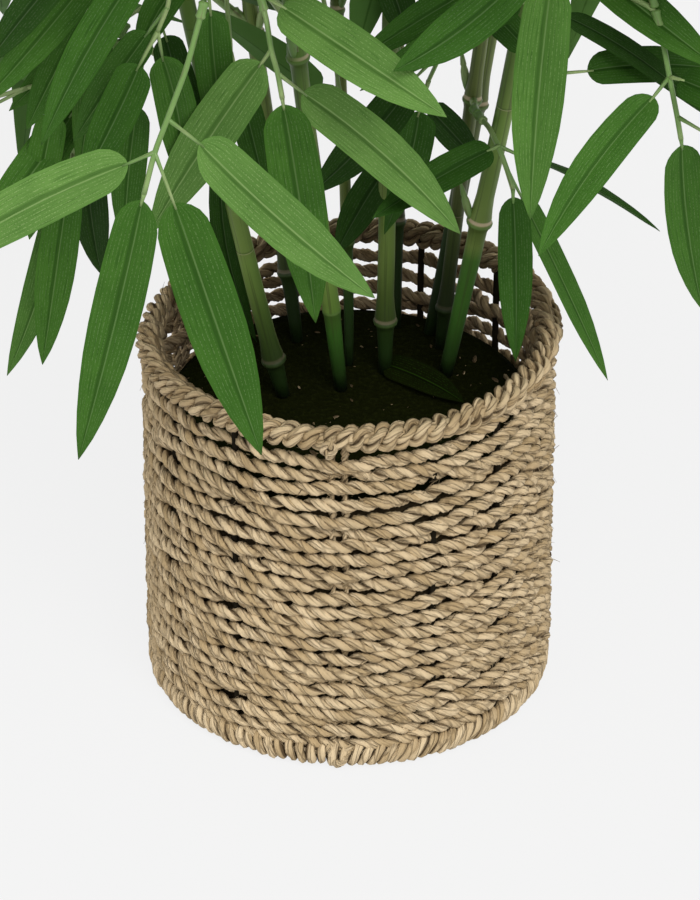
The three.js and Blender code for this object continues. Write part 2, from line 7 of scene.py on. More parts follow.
import bpy
import numpy as np
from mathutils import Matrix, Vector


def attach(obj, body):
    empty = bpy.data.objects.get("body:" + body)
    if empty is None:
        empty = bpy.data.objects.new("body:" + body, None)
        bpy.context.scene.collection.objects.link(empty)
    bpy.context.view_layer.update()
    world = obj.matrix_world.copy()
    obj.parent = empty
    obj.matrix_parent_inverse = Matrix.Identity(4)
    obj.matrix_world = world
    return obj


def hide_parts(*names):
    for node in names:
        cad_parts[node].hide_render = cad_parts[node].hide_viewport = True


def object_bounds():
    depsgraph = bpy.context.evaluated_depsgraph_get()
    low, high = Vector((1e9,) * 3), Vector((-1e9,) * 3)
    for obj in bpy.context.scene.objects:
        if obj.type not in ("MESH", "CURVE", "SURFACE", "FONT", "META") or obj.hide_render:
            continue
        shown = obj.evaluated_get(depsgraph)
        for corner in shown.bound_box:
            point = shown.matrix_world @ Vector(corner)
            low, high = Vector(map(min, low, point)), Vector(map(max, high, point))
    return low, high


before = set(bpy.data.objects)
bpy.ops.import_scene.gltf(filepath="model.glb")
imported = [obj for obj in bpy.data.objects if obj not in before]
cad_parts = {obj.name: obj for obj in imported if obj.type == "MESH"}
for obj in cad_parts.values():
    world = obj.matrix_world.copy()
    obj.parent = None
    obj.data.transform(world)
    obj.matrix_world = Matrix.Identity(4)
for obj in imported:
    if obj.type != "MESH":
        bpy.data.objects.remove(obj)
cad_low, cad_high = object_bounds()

MM = 0.001
TURN = 2 * np.pi
BODY = "root"
UPWARD = np.array([0.0, 0.0, 1.0])
WHITE = (1.0, 1.0, 1.0, 1.0)

# Camera: where it looks, from how far and how high, and the focal length that frames it
LOOK_AT = (0.4, 0.0, 122.0)
CAMERA_DISTANCE = 3000.0
CAMERA_ELEVATION = 33.0
FOCAL_LENGTH = 240.0
SENSOR = 36.0

# Light and floor, whose half width and level are in metres
SKY_STRENGTH = 0.62
SUNS = dict(
    key_sun=dict(azimuth=-70, elevation=48, strength=2.5, softness=36),
    fill_sun=dict(azimuth=-150, elevation=35, strength=0.7, softness=60),
)
FLOOR = dict(half=6.0, level=-0.0008, roughness=0.9, specular=0.0, grey=(0.06, 0.06, 0.06, 1.0), glow=0.833)

# Basket
BASKET_HEIGHT = 199.0
RIM_LEVEL = 192.5
RIM_RADIUS = 98.5
WEAVE_RADIUS = 96.7
FILL_TOP = 150.0
POT_RADIUS = 91.6
STAKE_AZIMUTHS = [-93, -65, -42, -15, 13, 40, 68, 96, 124, 152, 180, 208, 235]
CORD_STAKES = (0, 4, 9)
RIM_DIP = dict(azimuth=150, depth=7.0)
RIM_LIFT = dict(azimuth=10, height=1.6)

# Canes: foot on the filling, lean per mm of height, bow and height of the tip, radius at the foot,
# height of the lowest ring above the filling, ring spacing, how dry the colour is, which on the canes
# at the back also stands for painted shade, and how high the painted shade of the foot reaches. The
# lowest ring of the faint cane hardly shows.
CANE_FIELDS = ("foot", "lean", "bow", "tip", "radius", "ring", "spacing", "dry", "dark")
CANES = [dict(zip(CANE_FIELDS, row)) for row in [
    ((-33, 7), (-0.204, -0.1), (38, -10), 853, 5.2, 23, 132, 0.2, 106),
    ((-4, 13), (-0.095, -0.12), (-18, -30), 983, 5.0, 51, 154, 0.0, 50),
    ((0, 36), (-0.01, 0.05), (-40, 60), 783, 3.4, 70, 125, 0.7, 120),
    ((18, 28), (0, -0.04), (40, -70), 1073, 5.0, 32, 140, 0.4, 88),
    ((24, 72), (0, 0.14), (10, -20), 963, 3.8, 58, 132, 0.9, 190),
    ((46, 52), (0.09, 0.01), (50, 30), 903, 4.2, 24, 119, 0.75, 180),
    ((48, 26), (0.18, -0.07), (-46, -30), 993, 5.4, 94, 138, 0.3, 52),
    ((41, 65), (0.185, 0.09), (-62, 6), 1023, 5.2, 128, 132, 0.6, 190),
    ((-26, 58), (-0.13, 0.15), (10, -22), 943, 4.6, 38, 128, 0.5, 150),
]]
FAINT_CANE = 1
CROWN_AXIS = (8, 25)
CANE_TIP_SHARE = 0.42
RING_SWELL = 1.24
RING_FREE_TIP = 25

# Boughs: thin branch wires that leave a cane at one of its rings and arch over
SEAT_GAP = 0.3
BOUGH_SPANS = 3
BOUGH_ABOVE_RING = 1
BOUGH_ROOT_RADIUS = 2.4
BOUGH_TIP_RADIUS = 1.7
RULED_BOUGHS = dict(count=13, lowest=400, highest=880)
RULED_BOUGH = dict(elevation=52, droop=17, length=58)
GOLDEN_ANGLE = 137.5
FRONT_BOUGHS = dict(
    leftFront=dict(cane=0, ring=2, azimuth=-78, elevation=38, droop=20, length=112),
    middleFront=dict(cane=1, ring=1, azimuth=-112, elevation=62, droop=16, length=104),
    rightFront=dict(cane=6, ring=1, azimuth=-62, elevation=40, droop=16, length=88),
    farFront=dict(cane=3, ring=2, azimuth=-58, elevation=26, droop=14, length=122),
    leftLow=dict(cane=0, ring=1, azimuth=204, elevation=72, droop=14, length=74),
    leftBack=dict(cane=8, ring=1, azimuth=176, elevation=42, droop=14, length=96),
)

# Stem, twigs and leaves of a mass of foliage; a leaf's row is its share along the twig, its turn
# and how far below the twig's heading it points
TWIG_SIDES = 3
STEM_SPANS = 3
STEM_LENGTH = 84
STEM_DROOP = 15
STEM_RADIUS = 1.9
TIP_STEM_ELEVATION = 74
STEM_ELEVATION = 18
LOW_STEM_ELEVATION = 6
TWIG_RADIUS = 1.6
TWIG_TAPER = 0.8
TWIG_SHORT = 36
TWIG_LONG = 56
TWIG_SINK = 0.06
TWIG_TURN = dict(side=58, side_range=24, tip_range=20)
TWIG_LIFT_RANGE = 22
TWIG_DROOP = 8
TWIG_LEAVES = [(0.42, 56, 28), (0.7, -54, 28), (0.98, 6, 34)]
STEM_LEAF = dict(turn=-0.8, droop=25, seed=9)
STALK_LENGTH = 18
LEAF_LONG = 142
LEAF_SHORT = 98
LEAF_SLENDERNESS = 5.5
LEAF_SAG = 0.09
FACE_ELEVATION = 41
FACE_TURN = 110
LEAF_TRIES = 8
LEAF_TURN = dict(range=30, more=22)
LEAF_TILT = dict(range=24, more=16)
STEEPEST_LEAF = -82
LEAF_SPACING = 18
LEAF_AXIS_START = 0.3
LEAF_ROOM = dict(shoulder=0.22, narrowing=0.6, blade=0.46, tip=0.62, stalk=2)
CLEARANCE = 1.5
CROWN_FLOOR = dict(level=295, slope=0.62, front=(70, 70), rise=95, left=(-60, 100), drop=95)
SEEDS = dict(front_twig=400, front_side_twig=402, left_back=300, ruled=100, cane_tip=203)
FRONT_TWIG = dict(turn=30, elevation=20)
FRONT_SIDE_TWIG = dict(share=0.5, turn=-70, elevation=10)

# Finer growth on every twig of the rule above: a short twig from its middle, and more leaves
FINE_LEAVES = [(0.2, -62, 18), (0.56, 66, 34), (0.84, -40, 30), (0.97, 44, 36), (0.97, -34, 40)]
FINE_SPACING = 9
FINE_SEED = 50
SHORT_TWIG = dict(share=0.5, turn=74, shrink=0.6, seed=70)
RING_SPRAY = {"from": 500, "elevation": 34, "turn": 48, "length": 60, "seed": 500}
MASSES = 29
FOLIAGE = [f"foliage_{number + 1:02d}" for number in range(MASSES)]

# Sprays that hang in front of the basket. A leaf is the corner of the twig's path that it springs
# from, its tip, its width and its green; where they aren't STALK_LENGTH and TO_FRONT, the length of
# its stalk and the azimuth that its face looks to follow.
TO_FRONT = -90
FRONT_SPRAYS = [
    dict(bough="leftFront",
         path=[(-65, -146, 457), (-73, -156, 429), (-82, -163, 406), (-88, -167, 391), (-93, -170, 371)],
         leaves=[(2, (12, -125, 287), 25, "bright", 22), (3, (-205, -135, 303), 24.5, "bright", 15),
                 (3, (-41, -165, 225), 28, "middle", 28), (4, (-127, -158, 218), 23.5, "middle", 4)]),
    dict(bough="middleFront",
         path=[(-41, -86, 428), (-38, -92, 417), (-36, -96, 404), (-33, -98, 393), (-31, -100, 381)],
         leaves=[(0, (44, -165, 408), 24, "bright", 14), (2, (-95, -70, 289), 25, "bright", 9),
                 (3, (53, -60, 283), 24, "bright"), (4, (-16, -78, 244), 25, "middle", 4)]),
    dict(bough="rightFront",
         path=[(142, -70, 411), (146, -76, 396), (149, -80, 381), (153, -84, 362), (155, -86, 351)],
         leaves=[(2, (88, -128, 312), 19, "middle", 12), (2, (206, -150, 395), 19, "dark", 8),
                 (3, (236, -120, 319), 20, "dark"), (4, (170, -60, 240), 20, "middle", 4)]),
    dict(bough="farFront",
         path=[(96, -108, 477), (94, -113, 465), (92, -116, 456)],
         leaves=[(2, (85, -96, 312), 24.5, "light", 6), (1, (20, -150, 423), 22, "dark")]),
    dict(bough="leftLow",
         path=[(-109, -34, 375), (-119, -42, 356), (-126, -48, 338), (-131, -52, 324)],
         leaves=[(1, (-179, -90, 292), 21, "middle"), (2, (-167, -40, 190), 18, "light"),
                 (3, (-148, -66, 213), 19, "middle"), (2, (-121, -12, 231), 18, "darkest")]),
    dict(ring=(5, 1),
         path=[(63, 22, 302), (68, 6, 304), (72, -6, 301), (76, -14, 293), (79, -20, 285)],
         leaves=[(2, (11, -66, 296), 17, "dark", 5), (2, (153, 20, 237), 13, "dark", 18, 20),
                 (3, (128, -6, 166), 14, "middle", 18, -60), (4, (81, -42, 200), 17, "dark", 4)]),
]

# Sprays between and behind them, in the same form; they spring from the first corner's limb
INNER_SPRAYS = [
    dict(path=[(-70, -86, 473), (-79, -96, 458), (-83, -100, 429), (-88, -100, 416)],
         leaves=[(2, (-129, -84, 348), 17, "middle"), (3, (-123, -112, 345), 20, "dark"),
                 (3, (-78, -60, 308), 19, "middle")]),
    dict(path=[(-62, -118, 470), (-86, -124, 477), (-111, -106, 474)],
         leaves=[(1, (-141, -136, 376), 19, "dark"), (2, (-166, -126, 412), 17, "darkest")]),
    dict(path=[(-78, -52, 461), (-97, -80, 463), (-113, -75, 428)],
         leaves=[(1, (-172, -110, 380), 18, "middle"), (2, (-151, -80, 352), 16, "middle"),
                 (2, (-128, -60, 318), 17, "middle")]),
    dict(path=[(-82, -30, 440), (-92, -50, 405), (-98, -58, 370)],
         leaves=[(1, (-160, -62, 352), 16, "middle"), (2, (-108, -50, 272), 17, "middle"),
                 (1, (-70, -62, 335), 17, "darkest")]),
    dict(path=[(-98, -58, 370), (-117, -55, 375), (-135, -60, 369), (-151, -60, 364), (-172, -60, 357)],
         leaves=[(3, (-218, -66, 322), 17, "middle"), (2, (-152, -70, 286), 17, "middle"),
                 (4, (-205, -72, 288), 17, "darkest"), (1, (-140, -38, 290), 16, "dark")]),
    dict(path=[(-60, -60, 470), (-64, -80, 452), (-65, -96, 438)],
         leaves=[(2, (-58, -58, 328), 18, "middle"), (1, (-99, -74, 386), 16, "middle")]),
    dict(path=[(-60, -12, 420), (-58, -24, 392), (-56, -30, 366), (-63, -20, 322)],
         leaves=[(2, (-40, -25, 286), 16, "dark"), (3, (-46, 18, 173), 13, "darkest")]),
    dict(path=[(-22, 18, 420), (-10, 24, 352), (-3, 22, 304)],
         leaves=[(2, (-71, 18, 364), 25, "middle", 18, 90), (1, (-82, 30, 372), 22, "middle", 18, 90)]),
    dict(path=[(26, 8, 470), (24, 16, 420), (12, 8, 404)],
         leaves=[(1, (4, 15, 340), 19, "middle", 18, 90), (2, (27, 0, 358), 17, "darkest")]),
    dict(path=[(90, -40, 500), (98, -60, 442), (96, -58, 416), (94, -50, 384), (95, -44, 362)],
         leaves=[(2, (5, -78, 372), 15, "dark"), (1, (2, -62, 378), 17, "dark"),
                 (4, (40, -40, 420), 16, "dark"), (4, (178, -26, 354), 18, "dark")]),
    dict(path=[(84, -30, 470), (92, -44, 436), (86, -44, 404)],
         leaves=[(2, (171, -52, 342), 11, "darkest"), (1, (172, -86, 388), 22, "middle", 18, -70)]),
    dict(path=[(34, -20, 440), (40, -28, 394), (44, -36, 370), (38, -18, 344)],
         leaves=[(2, (-19, -28, 286), 21, "darkest"), (3, (17, -12, 254), 20, "dark", 18, -60)]),
    dict(path=[(22, 36, 340), (28, 32, 312), (31, 26, 292)],
         leaves=[(2, (-7, 22, 222), 18, "darkest"), (1, (64, 44, 262), 16, "darkest")]),
    # A leaf that lies on the filling, in the shaded green, which is painted shade
    dict(path=[(18, 28, 150.5), (17.6, 28.6, 155)],
         leaves=[(1, (57, -6, 154), 15, "shaded", 1, -75)]),
]


# Camera, floor and light

def set_camera():
    """The camera looks at LOOK_AT from the front, raised by its elevation."""
    elevation = math.radians(CAMERA_ELEVATION)
    reach = CAMERA_DISTANCE * MM
    camera = bpy.data.objects.new("camera", bpy.data.cameras.new("camera"))
    camera.data.lens = FOCAL_LENGTH
    camera.data.sensor_width = SENSOR
    camera.location = (
        LOOK_AT[0] * MM,
        LOOK_AT[1] * MM - reach * math.cos(elevation),
        LOOK_AT[2] * MM + reach * math.sin(elevation),
    )
    camera.rotation_euler = (math.pi / 2 - elevation, 0, 0)
    bpy.context.scene.collection.objects.link(camera)
    bpy.context.scene.camera = camera


def add_sun(name, azimuth, elevation, strength, softness):
    """A sun that shines from an azimuth and elevation in degrees, with a disc as wide as its softness."""
    sun = bpy.data.objects.new(name, bpy.data.lights.new(name, "SUN"))
    sun.data.energy = strength
    sun.data.angle = math.radians(softness)
    sun.rotation_euler = (math.radians(90 - elevation), 0, math.radians(azimuth + 90))
    bpy.context.scene.collection.objects.link(sun)


def set_stage():
    """A pale floor that glows a little like a light table, a pale even sky and two soft suns."""
    scene = bpy.context.scene
    scene.view_settings.view_transform = "Standard"
    world = bpy.data.worlds.new("sky")
    world.use_nodes = True
    background = world.node_tree.nodes["Background"]
    background.inputs["Color"].default_value = WHITE
    background.inputs["Strength"].default_value = SKY_STRENGTH
    scene.world = world
    for name, settings in SUNS.items():
        add_sun(name, **settings)

    mesh = bpy.data.meshes.new("floor")
    half, level = FLOOR["half"], FLOOR["level"]
    corners = [(-half, -half, level), (half, -half, level), (half, half, level), (-half, half, level)]
    mesh.from_pydata(corners, [], [(0, 1, 2, 3)])
    mesh.materials.append(floor_material())
    floor = bpy.data.objects.new("floor", mesh)
    scene.collection.objects.link(floor)


# Node trees

def add_node(tree, kind, inputs=None, **settings):
    """A node with its settings; each input is a plain value or another node's socket."""
    made = tree.nodes.new(kind)
    for name, value in settings.items():
        setattr(made, name, value)
    for name, value in (inputs or {}).items():
        if isinstance(value, bpy.types.NodeSocket):
            tree.links.new(value, made.inputs[name])
        else:
            made.inputs[name].default_value = value
    return made


def maths(tree, operation, *values):
    """The result of a Math node on numbers or sockets."""
    made = add_node(tree, "ShaderNodeMath", dict(enumerate(values)), operation=operation)
    return made.outputs[0]


def product(tree, first, second):
    """Two numbers or sockets multiplied."""
    return maths(tree, "MULTIPLY", first, second)


def colour_mix(tree, share, first, second):
    """Two colours mixed by a share; A and B are sockets 6 and 7 of a colour Mix node."""
    made = add_node(tree, "ShaderNodeMix", {0: share, 6: first, 7: second}, data_type="RGBA")
    return made.outputs[2]


def band(tree, value, low, high):
    """0 below low, 1 above high, and smooth between; low above high turns it round."""
    made = add_node(tree, "ShaderNodeMapRange", {"Value": value, "From Min": low, "From Max": high},
                    interpolation_type="SMOOTHSTEP")
    return made.outputs[0]


def between(tree, value, rise, fall):
    """1 where a value is past its rise and not yet in its fall, each of them a band."""
    return product(tree, band(tree, value, *rise), band(tree, value, *fall))


def layered(tree, base, layers):
    """Colours laid over a base in turn, each where its mask is 1 and at its strength."""
    for colour, mask, strength in layers:
        base = colour_mix(tree, product(tree, mask, strength), base, colour)
    return base


def noise(tree, place, scale=1.0, detail=2.0, dimensions="3D"):
    """Soft noise at a place."""
    made = add_node(tree, "ShaderNodeTexNoise", {"Vector": place, "Scale": scale, "Detail": detail},
                    noise_dimensions=dimensions)
    return made.outputs[0]


def pair(tree, first, second):
    """A vector from two numbers."""
    return add_node(tree, "ShaderNodeCombineXYZ", {0: first, 1: second}).outputs[0]


def parts_of(tree, vector):
    """The three numbers of a vector."""
    return add_node(tree, "ShaderNodeSeparateXYZ", {0: vector}).outputs


def strand_map(tree):
    """The piece's own map: a share across the strand or leaf, and metres along it."""
    return add_node(tree, "ShaderNodeUVMap", uv_map="strand").outputs[0]


def attribute(tree, name):
    """A number that the mesh holds at each of its points."""
    return add_node(tree, "ShaderNodeAttribute", attribute_name=name).outputs["Fac"]


def dress(tree, surface, colour, height, relief):
    """Gives a surface its colour, and a relief of a strength and a depth in metres from a height."""
    strength, depth = relief
    made = add_node(tree, "ShaderNodeBump", {"Height": height, "Strength": strength, "Distance": depth})
    tree.links.new(colour, surface["Base Color"])
    tree.links.new(made.outputs[0], surface["Normal"])


def new_group(name, vectors, numbers, results):
    """An empty shader group that takes the named vectors and the numbers with their defaults, and
    puts out the named numbers."""
    group = bpy.data.node_groups.new(name, "ShaderNodeTree")
    for label in vectors:
        group.interface.new_socket(label, in_out="INPUT", socket_type="NodeSocketVector")
    for label, default in numbers.items():
        socket = group.interface.new_socket(label, in_out="INPUT", socket_type="NodeSocketFloat")
        socket.default_value = default
    for label in results:
        group.interface.new_socket(label, in_out="OUTPUT", socket_type="NodeSocketFloat")
    return group, group.nodes.new("NodeGroupInput").outputs, group.nodes.new("NodeGroupOutput").inputs


def use_group(tree, group, inputs):
    """The outputs of a group that is placed in a tree with its own inputs."""
    return add_node(tree, "ShaderNodeGroup", inputs, node_tree=group).outputs


def new_material(name, look):
    """A material whose Principled node has its plain numbers set on its own sockets."""
    material = bpy.data.materials.new(name)
    material.use_nodes = True
    tree = material.node_tree
    surface = tree.nodes["Principled BSDF"].inputs
    surface["Roughness"].default_value = look["roughness"]
    surface["Specular IOR Level"].default_value = look["specular"]
    return material, tree, surface


def floor_material():
    """Pale floor that glows evenly."""
    material, _, surface = new_material("pale_floor", FLOOR)
    surface["Base Color"].default_value = FLOOR["grey"]
    surface["Emission Color"].default_value = WHITE
    surface["Emission Strength"].default_value = FLOOR["glow"]
    return material


# Streaks: the detail of their noise, and the scale and detail of the broad patches under them
STREAK_DETAIL = 3.0
PATCH_SCALE = 0.6
PATCH_DETAIL = 1.0


def streaks_group():
    """Fine lines that run along a surface: noise that is stretched along the second coordinate."""
    group, given, result = new_group(
        "long_streaks", ["Across And Along"], {"Lines Across": 20.0, "Lines Along": 1.0, "Contrast": 1.0},
        ["Streaks", "Patches"])
    parts = parts_of(group, given["Across And Along"])
    across = product(group, parts[0], given["Lines Across"])
    along = product(group, parts[1], given["Lines Along"])
    lines = noise(group, pair(group, across, along), 1.0, STREAK_DETAIL, "2D")
    centred = maths(group, "SUBTRACT", lines, 0.5)
    scaled = maths(group, "MULTIPLY_ADD", centred, given["Contrast"], 0.5)
    patches = noise(group, pair(group, parts[0], along), PATCH_SCALE, PATCH_DETAIL, "2D")
    group.links.new(scaled, result["Streaks"])
    group.links.new(patches, result["Patches"])
    return group


# Distances from the edge of a strip between which the painted shade in its crease fades
CREASE_SHADE_BAND = (0.10, 0.01)


def ribbons_group():
    """Flat strips of grass side by side along a strand: a tone for each strip, and a crease where two
    of them meet that is darkened as painted shade and sunk as relief. Across And Along is the strand map,
    with metres along it."""
    group, given, result = new_group(
        "grass_ribbons", ["Across And Along"], {"Strips Across": 3.0, "Strips Along": 70.0, "Slant": 40.0},
        ["Tone", "Crease"])
    parts = parts_of(group, given["Across And Along"])
    across = product(group, parts[0], given["Strips Across"])
    slanted = maths(group, "MULTIPLY_ADD", parts[1], given["Slant"], across)
    place = pair(group, slanted, product(group, parts[1], given["Strips Along"]))
    strips, edges = (
        add_node(group, "ShaderNodeTexVoronoi", {"Vector": place, "Scale": 1.0}, voronoi_dimensions="2D",
                 feature=feature).outputs for feature in ("F1", "DISTANCE_TO_EDGE"))
    tone = add_node(group, "ShaderNodeSeparateColor", {0: strips["Color"]}).outputs[0]
    group.links.new(tone, result["Tone"])
    group.links.new(band(group, edges["Distance"], *CREASE_SHADE_BAND), result["Crease"])
    return group


# How squarely a surface faces the basket's axis where its painted inner shade begins and is full
INNER_SHADE_BAND = (0.0, -0.5)


def inner_shade_group():
    """How far a surface of the basket faces its axis, from the object's own place and normal: the mask
    of the painted shade on the basket's inner side.
    """
    group, given, result = new_group("inner_shade", ["Place", "Facing"], {}, ["Inner"])
    level = add_node(group, "ShaderNodeVectorMath", {0: given["Place"], 1: (1.0, 1.0, 0.0)},
                     operation="MULTIPLY").outputs[0]
    outward = add_node(group, "ShaderNodeVectorMath", {0: level}, operation="NORMALIZE").outputs[0]
    towards = add_node(group, "ShaderNodeVectorMath", {0: outward, 1: given["Facing"]},
                       operation="DOT_PRODUCT").outputs["Value"]
    group.links.new(band(group, towards, *INNER_SHADE_BAND), result["Inner"])
    return group


# Seagrass: its dark, middle and light colours, the dark one also laid on as painted shade in creases,
# at seams and on the inner side; the band of each mask, and how strongly it shows
CORD_COLOURS = [(0.070, 0.042, 0.017, 1.0), (0.390, 0.281, 0.147, 1.0), (0.61, 0.476, 0.294, 1.0)]
RIM_COLOURS = [(0.075, 0.046, 0.019, 1.0), (0.342, 0.243, 0.124, 1.0), (0.54, 0.418, 0.251, 1.0)]
SEAGRASS = dict(
    roughness=0.8, specular=0.25, patches=0.9, strips=0.4, light=(0.3, 1.0),
    lines=(0.46, 0.1), line_strength=0.44, crease_shade_strength=0.42, seam=(0.235, 0.40), seam_shade_strength=0.95,
    inner_shade_strength=0.62, crease_depth=-0.6, relief=(0.9, 0.0009),
)
SEAGRASS_FIBRES = {"Lines Across": 9.0, "Lines Along": 90.0, "Contrast": 1.4}


def seagrass_material(name, streaks, ribbons, inner_shade, colours):
    """Dry seagrass: strips of three tones with painted shade in the creases between them, fine fibres
    along the strand, painted shade where two plies meet, and painted shade on the side that faces
    the basket's axis."""
    look = SEAGRASS
    dark, middle, light = colours
    material, tree, surface = new_material(name, look)
    place = strand_map(tree)
    own = add_node(tree, "ShaderNodeTexCoord").outputs
    inner = use_group(tree, inner_shade, {"Place": own["Object"], "Facing": own["Normal"]})
    fibres = use_group(tree, streaks, {"Across And Along": place, **SEAGRASS_FIBRES})
    strips = use_group(tree, ribbons, {"Across And Along": place})
    strip_tone = product(tree, strips["Tone"], look["strips"])
    tone = maths(tree, "MULTIPLY_ADD", fibres["Patches"], look["patches"], strip_tone)
    body = colour_mix(tree, band(tree, tone, *look["light"]), middle, light)
    from_seam = maths(tree, "ABSOLUTE", maths(tree, "SUBTRACT", parts_of(tree, place)[0], 0.5))
    colour = layered(tree, body, [
        (dark, band(tree, fibres["Streaks"], *look["lines"]), look["line_strength"]),
        # Painted shade in the creases between strips
        (dark, strips["Crease"], look["crease_shade_strength"]),
        # Painted shade where two plies meet
        (dark, band(tree, from_seam, *look["seam"]), look["seam_shade_strength"]),
        # Painted shade on the side of the basket that faces its axis
        (dark, inner["Inner"], look["inner_shade_strength"]),
    ])
    height = maths(tree, "MULTIPLY_ADD", strips["Crease"], look["crease_depth"], fibres["Streaks"])
    dress(tree, surface, colour, height, look["relief"])
    return material


# Filling: its grain, the colours of its top and of the liner's side, and how far below the top the
# side's begins and is full
FILLING = dict(
    roughness=0.95, specular=0.02, scale=420.0, detail=4.0, grain=(0.45, 0.8),
    top=((0.0062, 0.0075, 0.0010, 1.0), (0.013, 0.016, 0.003, 1.0)), side=(0.046, 0.034, 0.018, 1.0),
    side_from=1, side_full=3, relief=(0.8, 0.002),
)


def filling_material():
    """Nearly black filling, browner down the side of its liner."""
    look = FILLING
    material, tree, surface = new_material("dark_filling", look)
    place = add_node(tree, "ShaderNodeTexCoord").outputs["Object"]
    grain = noise(tree, place, look["scale"], look["detail"])
    top = colour_mix(tree, band(tree, grain, *look["grain"]), *look["top"])
    level = parts_of(tree, place)[2]
    side = band(tree, level, (FILL_TOP - look["side_from"]) * MM, (FILL_TOP - look["side_full"]) * MM)
    dress(tree, surface, colour_mix(tree, side, top, look["side"]), grain, look["relief"])
    return material


WIRE = dict(
    roughness=0.9, specular=0.05, scale=90.0,
    colours=((0.006, 0.005, 0.003, 1.0), (0.018, 0.014, 0.008, 1.0)),
)


def wire_material():
    """Nearly black wire with worn patches."""
    material, tree, surface = new_material("dark_wire", WIRE)
    worn = noise(tree, add_node(tree, "ShaderNodeTexCoord").outputs["Object"], WIRE["scale"])
    tree.links.new(colour_mix(tree, worn, *WIRE["colours"]), surface["Base Color"])
    return material


# Cane: its colours, the dry ones dark enough to serve also as painted shade on the canes at the back,
# and the foot colour painted shade; then the bands of its masks, in levels of noise or mm from a
# ring, and how strongly each shows
CANE_COLOURS = dict(
    fresh=((0.090, 0.195, 0.025, 1.0), (0.215, 0.335, 0.070, 1.0)),
    dry=((0.066, 0.072, 0.018, 1.0), (0.185, 0.198, 0.060, 1.0)),
    sleeve=(0.036, 0.132, 0.014, 1.0), grain=(0.045, 0.06, 0.018, 1.0), smudge=(0.05, 0.085, 0.015, 1.0),
    scar=(0.50, 0.41, 0.26, 1.0), collar=(0.105, 0.185, 0.042, 1.0), foot=(0.006, 0.013, 0.002, 1.0),
)
CANE_LOOK = dict(
    roughness=0.5, specular=0.3, fresh=(0.35, 0.65), dry=(0.3, 0.7), near_ring=(60.0, 2.0),
    drier_there=0.25, dry_strength=0.75, sleeve_strength=0.85, grain=(0.46, 0.1), grain_strength=0.6,
    smudge=((-16.0, -3.0), (0.0, -1.2)), smudge_strength=0.55, scar=((0.2, 1.0), (2.9, 1.9)),
    scar_patches=(0.26, 0.46), collar=((-1.8, -1.0), (0.4, -0.4)), foot=(1.0, 0.0), foot_shade_strength=0.94,
    relief=(0.2, 0.0004),
)
CANE_LINES = {"Lines Across": 26.0, "Lines Along": 9.0, "Contrast": 1.4}


def cane_material(streaks):
    """Moulded bamboo: green towards each ring's underside and dry brown above it, browner and darker
    on the canes at the back as painted shade, with streaks along the cane, a pale scar and a thin
    green collar at every ring, and painted shade that darkens its foot."""
    look, colours = CANE_LOOK, CANE_COLOURS
    material, tree, surface = new_material("cane_bark", look)
    ring = attribute(tree, "from_ring")
    lines = use_group(tree, streaks, {"Across And Along": strand_map(tree), **CANE_LINES})
    fresh = colour_mix(tree, band(tree, lines["Patches"], *look["fresh"]), *colours["fresh"])
    brown = colour_mix(tree, band(tree, lines["Patches"], *look["dry"]), *colours["dry"])
    near_ring = band(tree, ring, *look["near_ring"])
    # Dryness, which on the canes at the back also darkens them as painted shade
    dryness = maths(tree, "MULTIPLY_ADD", near_ring, look["drier_there"], attribute(tree, "dry"))
    scar = product(tree, between(tree, ring, *look["scar"]),
                   band(tree, lines["Patches"], *look["scar_patches"]))
    # Painted shade that darkens each cane towards its foot inside the basket
    foot_shade = band(tree, attribute(tree, "foot_share"), *look["foot"])
    colour = layered(tree, fresh, [
        (brown, dryness, look["dry_strength"]),
        (colours["sleeve"], attribute(tree, "in_sleeve"), look["sleeve_strength"]),
        (colours["grain"], band(tree, lines["Streaks"], *look["grain"]), look["grain_strength"]),
        (colours["smudge"], between(tree, ring, *look["smudge"]), look["smudge_strength"]),
        (colours["scar"], scar, attribute(tree, "scar_share")),
        (colours["collar"], between(tree, ring, *look["collar"]), 1.0),
        (colours["foot"], foot_shade, look["foot_shade_strength"]),
    ])
    dress(tree, surface, colour, lines["Streaks"], look["relief"])
    return material


TWIG_LOOK = dict(
    roughness=0.5, specular=0.4, greens=((0.13, 0.24, 0.06, 1.0), (0.27, 0.36, 0.14, 1.0)),
    green=(0.35, 0.7), brown=(0.12, 0.13, 0.05, 1.0), browned=(0.42, 0.15), relief=(0.4, 0.0005),
)
TWIG_LINES = {"Lines Across": 6.0, "Lines Along": 60.0, "Contrast": 1.2}


def twig_material(streaks):
    """Moulded twig: pale olive green with faint streaks, browner in patches."""
    look = TWIG_LOOK
    material, tree, surface = new_material("twig_skin", look)
    lines = use_group(tree, streaks, {"Across And Along": strand_map(tree), **TWIG_LINES})
    body = colour_mix(tree, band(tree, lines["Patches"], *look["green"]), *look["greens"])
    colour = colour_mix(tree, band(tree, lines["Streaks"], *look["browned"]), body, look["brown"])
    dress(tree, surface, colour, lines["Streaks"], look["relief"])
    return material


# Veins, in shares of the leaf's width: place and band of the midrib and of the groove beside it,
# the rows of dashes and their bands, and how far from the midrib and the edge the dashes keep
VEINS = dict(
    midrib_place=0.014, midrib=(0.022, 0.007), groove_place=0.045, groove=(0.062, 0.01), rows=41.0,
    row=(0.86, 0.99), dashes_across=24.0, dashes_along=1150.0, dash=(0.47, 0.6),
    inside=((0.06, 0.09), (0.47, 0.42)),
)


